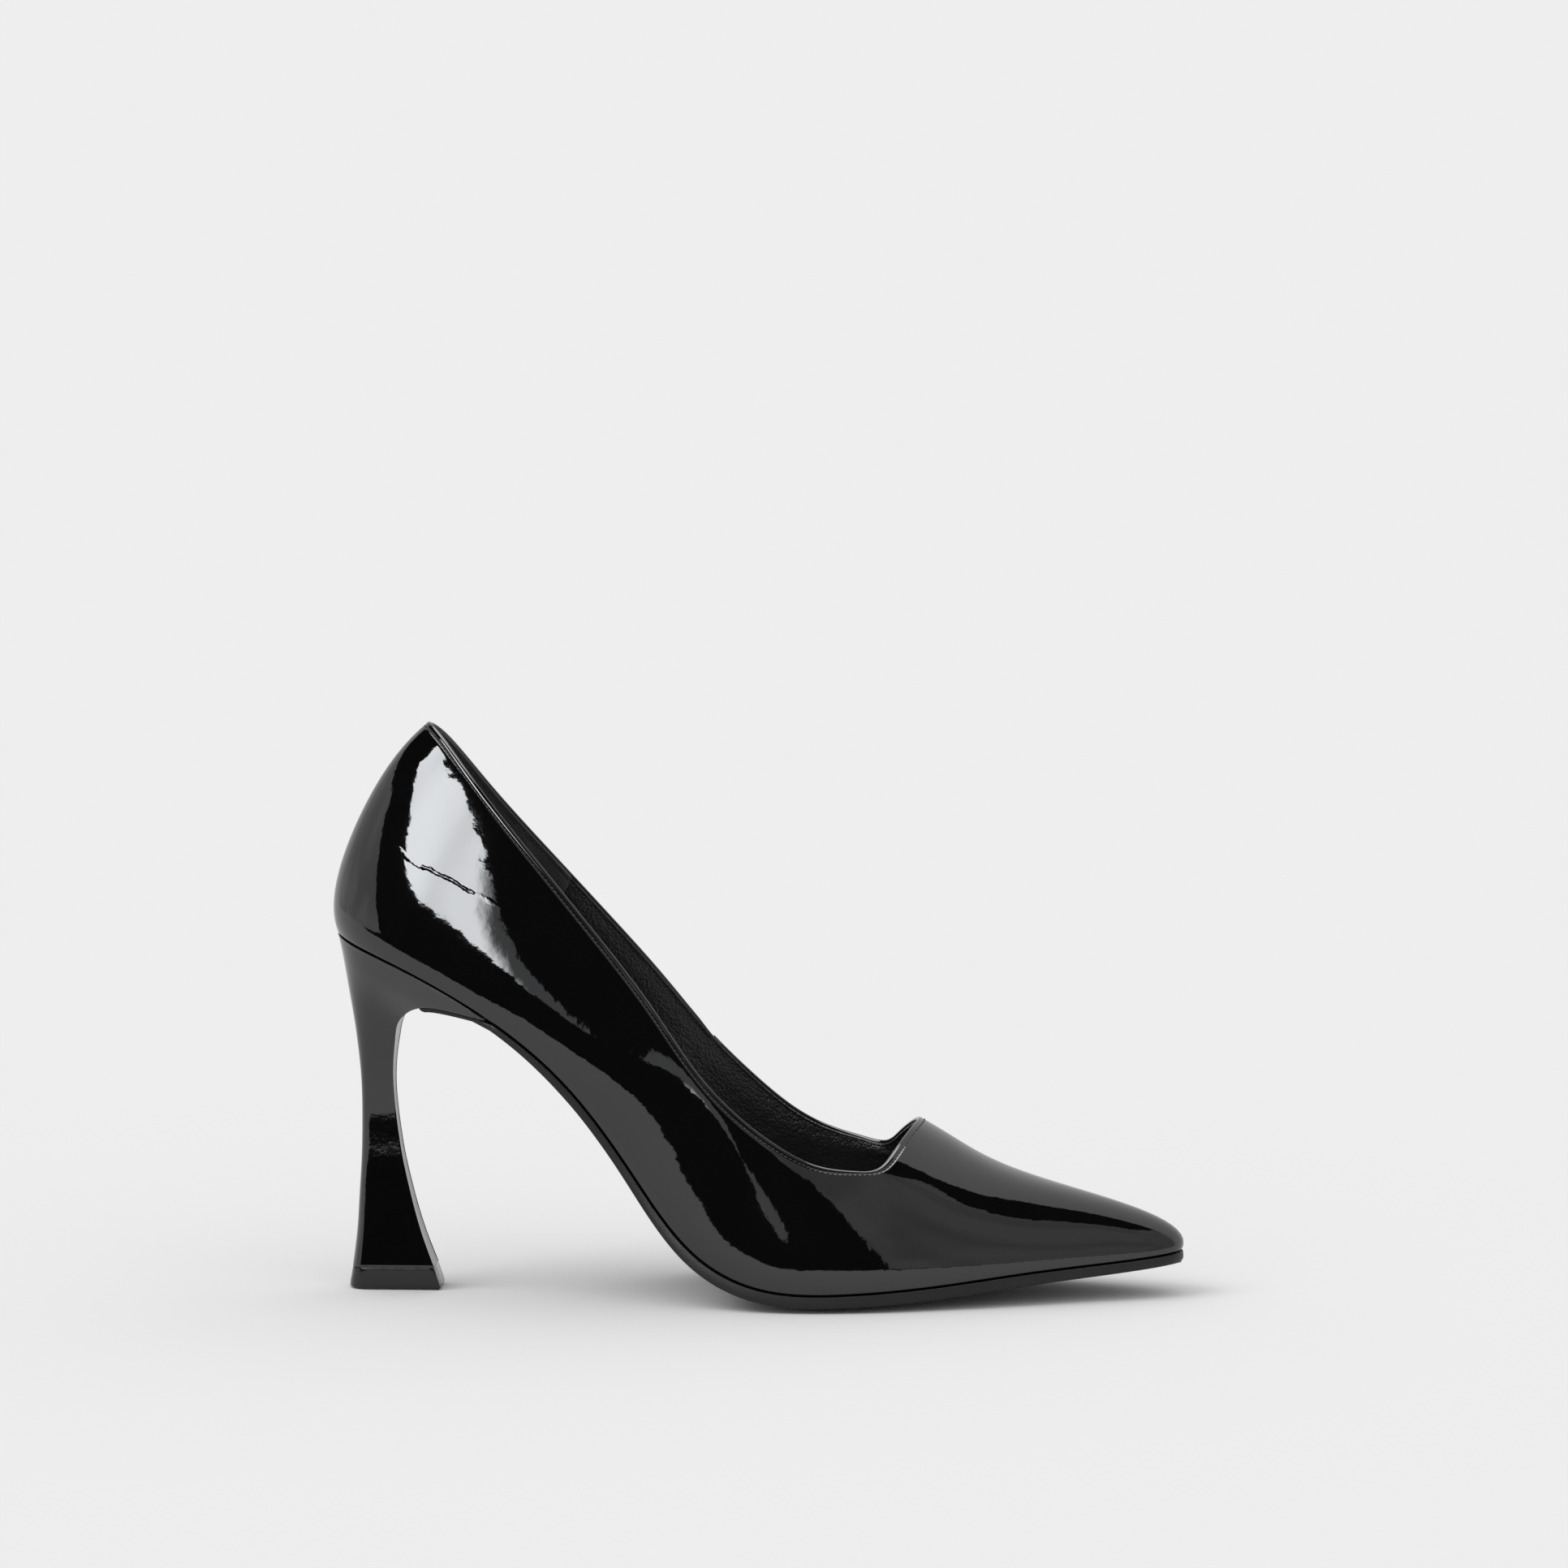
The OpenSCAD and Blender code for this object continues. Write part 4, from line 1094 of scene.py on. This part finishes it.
FLOOR_FRONT, FLOOR_LEVEL, FLOOR_TONE = -0.365, -0.0002, 0.8
KEY_FROM, KEY_SPREAD = (-0.62, -0.25, 0.75), 38
DARK_SURROUND = 0.012


def stage_paper(tone):
    """Matt paper, clear from below so that the shoe's underside can be looked at."""
    f = Finish("Studio paper")
    paper = f.node("BsdfPrincipled", {}, Roughness=1.0, Specular_IOR_Level=0.0,
                   Base_Color=f.mix(f.noise(3.0, 3.0), (tone * 0.994,) * 3 + (1.0,),
                                    (tone * 1.006,) * 3 + (1.0,)))
    below = f.node("NewGeometry", {}, out="Backfacing")
    mix = f.tree.nodes.new("ShaderNodeMixShader")
    for place, value in zip(mix.inputs, (below, paper, f.node("BsdfTransparent", {}))):
        f.tree.links.new(value.socket, place)
    f.tree.links.new(mix.outputs[0], f.output.inputs["Surface"])
    return f.material


def towards(turn, rise, reach=1.25):
    """A place seen from the shoe: turn from the camera side to the toe, rise over the floor."""
    a, e = math.radians(turn), math.radians(rise)
    return np.array((0.06 + reach * math.sin(a) * math.cos(e),
                     -0.02 - reach * math.cos(a) * math.cos(e), 0.08 + reach * math.sin(e)))


def reflector(name, rows, low, high, tint=(1.0, 1.0, 1.0), fade=None):
    """A glowing card that only the gloss sees, from rows of (turn, rise) directions."""
    card = sheet(name, np.array([[towards(*p) for p in row] for row in rows]) / MM)
    f = Finish(name)
    drift = f.ramp(f.noise(500.0, 1.0), 0.3, 0.7)
    colour = f.mix(drift, rgba(tint, low), rgba(tint, high))
    if fade:
        across = f.node("SeparateXYZ", {}, Vector=f.place)
        colour = f.mix(f.ramp(across, *fade), colour, rgba(tint, low * 0.07))
    glow = f.node("Emission", {}, Color=colour, Strength=1.0)
    f.tree.links.new(glow.socket, f.output.inputs["Surface"])
    card.data.materials.append(f.material)
    card.visible_camera = card.visible_diffuse = card.visible_shadow = False
    card.visible_transmission = False


SOFTBOX_LOW = ((-70, 38), (-61, 33.5), (-54, 30), (-44, 23), (-31, 16), (-15, 12), (-6, 9.5),
               (-2, 6))
SOFTBOX_HIGH = ((-62, 45), (-54, 42), (-47, 39), (-34, 36), (-22, 30.5), (-11, 24), (-4, 17),
                (-1, 11))
HEEL_SIDE = ((-58, -3), (-60, 8), (-64, 16), (-71, 24), (-84, 30))
TOE_SIDE = ((27, -3), (25, 8), (20, 18), (16, 24), (14, 34), (14, 46))


class PUMP_OT_stage(bpy.types.Operator):
    """Pale floor, soft key light, reflector cards and the camera"""
    bl_idname = "pump.stage"
    bl_label = "Stage"

    def execute(self, context):
        scene = context.scene
        studio = scene.pump_studio
        scene.view_settings.view_transform = "Standard"
        points = np.array([[(x, y, FLOOR_LEVEL) for x in np.linspace(-9, 9, 13)]
                           for y in (FLOOR_FRONT, 0.0, 0.5, 2.0, 5.0, 12.0)])
        floor = sheet("floor_sweep", points / MM)
        floor.data.materials.append(stage_paper(FLOOR_TONE))

        world = bpy.data.worlds.new("Studio")
        scene.world = world
        world.use_nodes = True
        tree = world.node_tree
        tree.nodes.clear()
        path = tree.nodes.new("ShaderNodeLightPath")
        out = tree.nodes.new("ShaderNodeOutputWorld")
        sky = None
        drop = Vector(KEY_FROM).normalized().z
        ambient = studio.backdrop / FLOOR_TONE - studio.key * drop / math.pi
        for ray, strength in ((None, ambient), ("Is Glossy Ray", DARK_SURROUND),
                              ("Is Camera Ray", studio.backdrop)):
            shade = tree.nodes.new("ShaderNodeBackground")
            shade.inputs["Color"].default_value = (1.0, 1.0, 1.0, 1.0)
            shade.inputs["Strength"].default_value = strength
            if sky is not None:
                mix = tree.nodes.new("ShaderNodeMixShader")
                tree.links.new(path.outputs[ray], mix.inputs[0])
                tree.links.new(sky, mix.inputs[1])
                tree.links.new(shade.outputs[0], mix.inputs[2])
                sky = mix.outputs[0]
            else:
                sky = shade.outputs[0]
        tree.links.new(sky, out.inputs["Surface"])

        sun = bpy.data.lights.new("Key", "SUN")
        sun.energy, sun.angle = studio.key, math.radians(KEY_SPREAD)
        lamp = bpy.data.objects.new("Key", sun)
        lamp.rotation_euler = Vector(KEY_FROM).to_track_quat("Z", "Y").to_euler()
        lamp.visible_glossy = False
        scene.collection.objects.link(lamp)
        bright = studio.softbox
        reflector("softbox_card", list(zip(SOFTBOX_LOW, SOFTBOX_HIGH)), bright * 0.85,
                  bright * 1.1, (0.95, 0.975, 1.0), (-0.17, -0.05))
        spread = np.linspace(0, 1, 7)
        reflector("heel_side_card",
                  [[(a + (-125 - a) * k, e, 2.2) for k in spread] for a, e in HEEL_SIDE],
                  0.62, 0.8)
        reflector("toe_side_card",
                  [[(a + (95 - a) * k, e, 2.2) for k in spread] for a, e in TOE_SIDE], 0.38, 0.52)
        reflector("overhead_card", [[(a, e, 1.6) for a in range(-180, 181, 30)]
                                    for e in (62, 76, 90)], 4.5, 5.5)
        reflector("backdrop_card",
                  [[(a, e, 2.4) for a in range(95, 236, 10)] for e in (-4, 10, 25, 40, 55, 68)],
                  studio.backdrop, studio.backdrop)

        turn, rise = math.radians(CAMERA_TURN), math.radians(CAMERA_RISE)
        back = Vector((math.sin(turn) * math.cos(rise), -math.cos(turn) * math.cos(rise),
                       math.sin(rise)))
        camera_data = bpy.data.cameras.new("Camera")
        camera_data.lens = 156.6
        camera_data.sensor_width = 36.0
        camera_data.clip_end = 50.0
        camera = bpy.data.objects.new("Camera", camera_data)
        camera.location = AIM + back * CAMERA_DISTANCE
        camera.rotation_euler = (-back).to_track_quat("-Z", "Y").to_euler()
        scene.collection.objects.link(camera)
        scene.camera = camera
        return {"FINISHED"}


# ---------------------------------------------------------------- panel and run
class PUMP_PT_panel(bpy.types.Panel):
    """Pieces of the pump, in the order they are made"""
    bl_idname = "PUMP_PT_panel"
    bl_label = "High heel pump"
    bl_space_type = "VIEW_3D"
    bl_region_type = "UI"
    bl_category = "Pump"

    def draw(self, context):
        layout = self.layout
        for group in ("pump_colours", "pump_detail", "pump_studio"):
            settings = getattr(context.scene, group)
            box = layout.box()
            for name in settings.__annotations__:
                box.prop(settings, name)
        for step in STEPS:
            layout.operator(step.bl_idname)


STEPS = (PUMP_OT_upper, PUMP_OT_lining, PUMP_OT_stitching, PUMP_OT_sock, PUMP_OT_outsole,
         PUMP_OT_heel, PUMP_OT_top_piece, PUMP_OT_inside, PUMP_OT_stage)
GROUPS = {"pump_colours": PumpColours, "pump_detail": PumpDetail, "pump_studio": PumpStudio}
CLASSES = tuple(GROUPS.values()) + STEPS + (PUMP_PT_panel,)


def register():
    for item in CLASSES:
        bpy.utils.register_class(item)
    for name, group in GROUPS.items():
        setattr(bpy.types.Scene, name, bpy.props.PointerProperty(type=group))


def unregister():
    for name in GROUPS:
        delattr(bpy.types.Scene, name)
    for item in reversed(CLASSES):
        bpy.utils.unregister_class(item)


def main():
    register()
    for step in STEPS:
        family, name = step.bl_idname.split(".")
        getattr(getattr(bpy.ops, family), name)()
    deselect()
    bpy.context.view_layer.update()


if __name__ == "__main__":
    main()
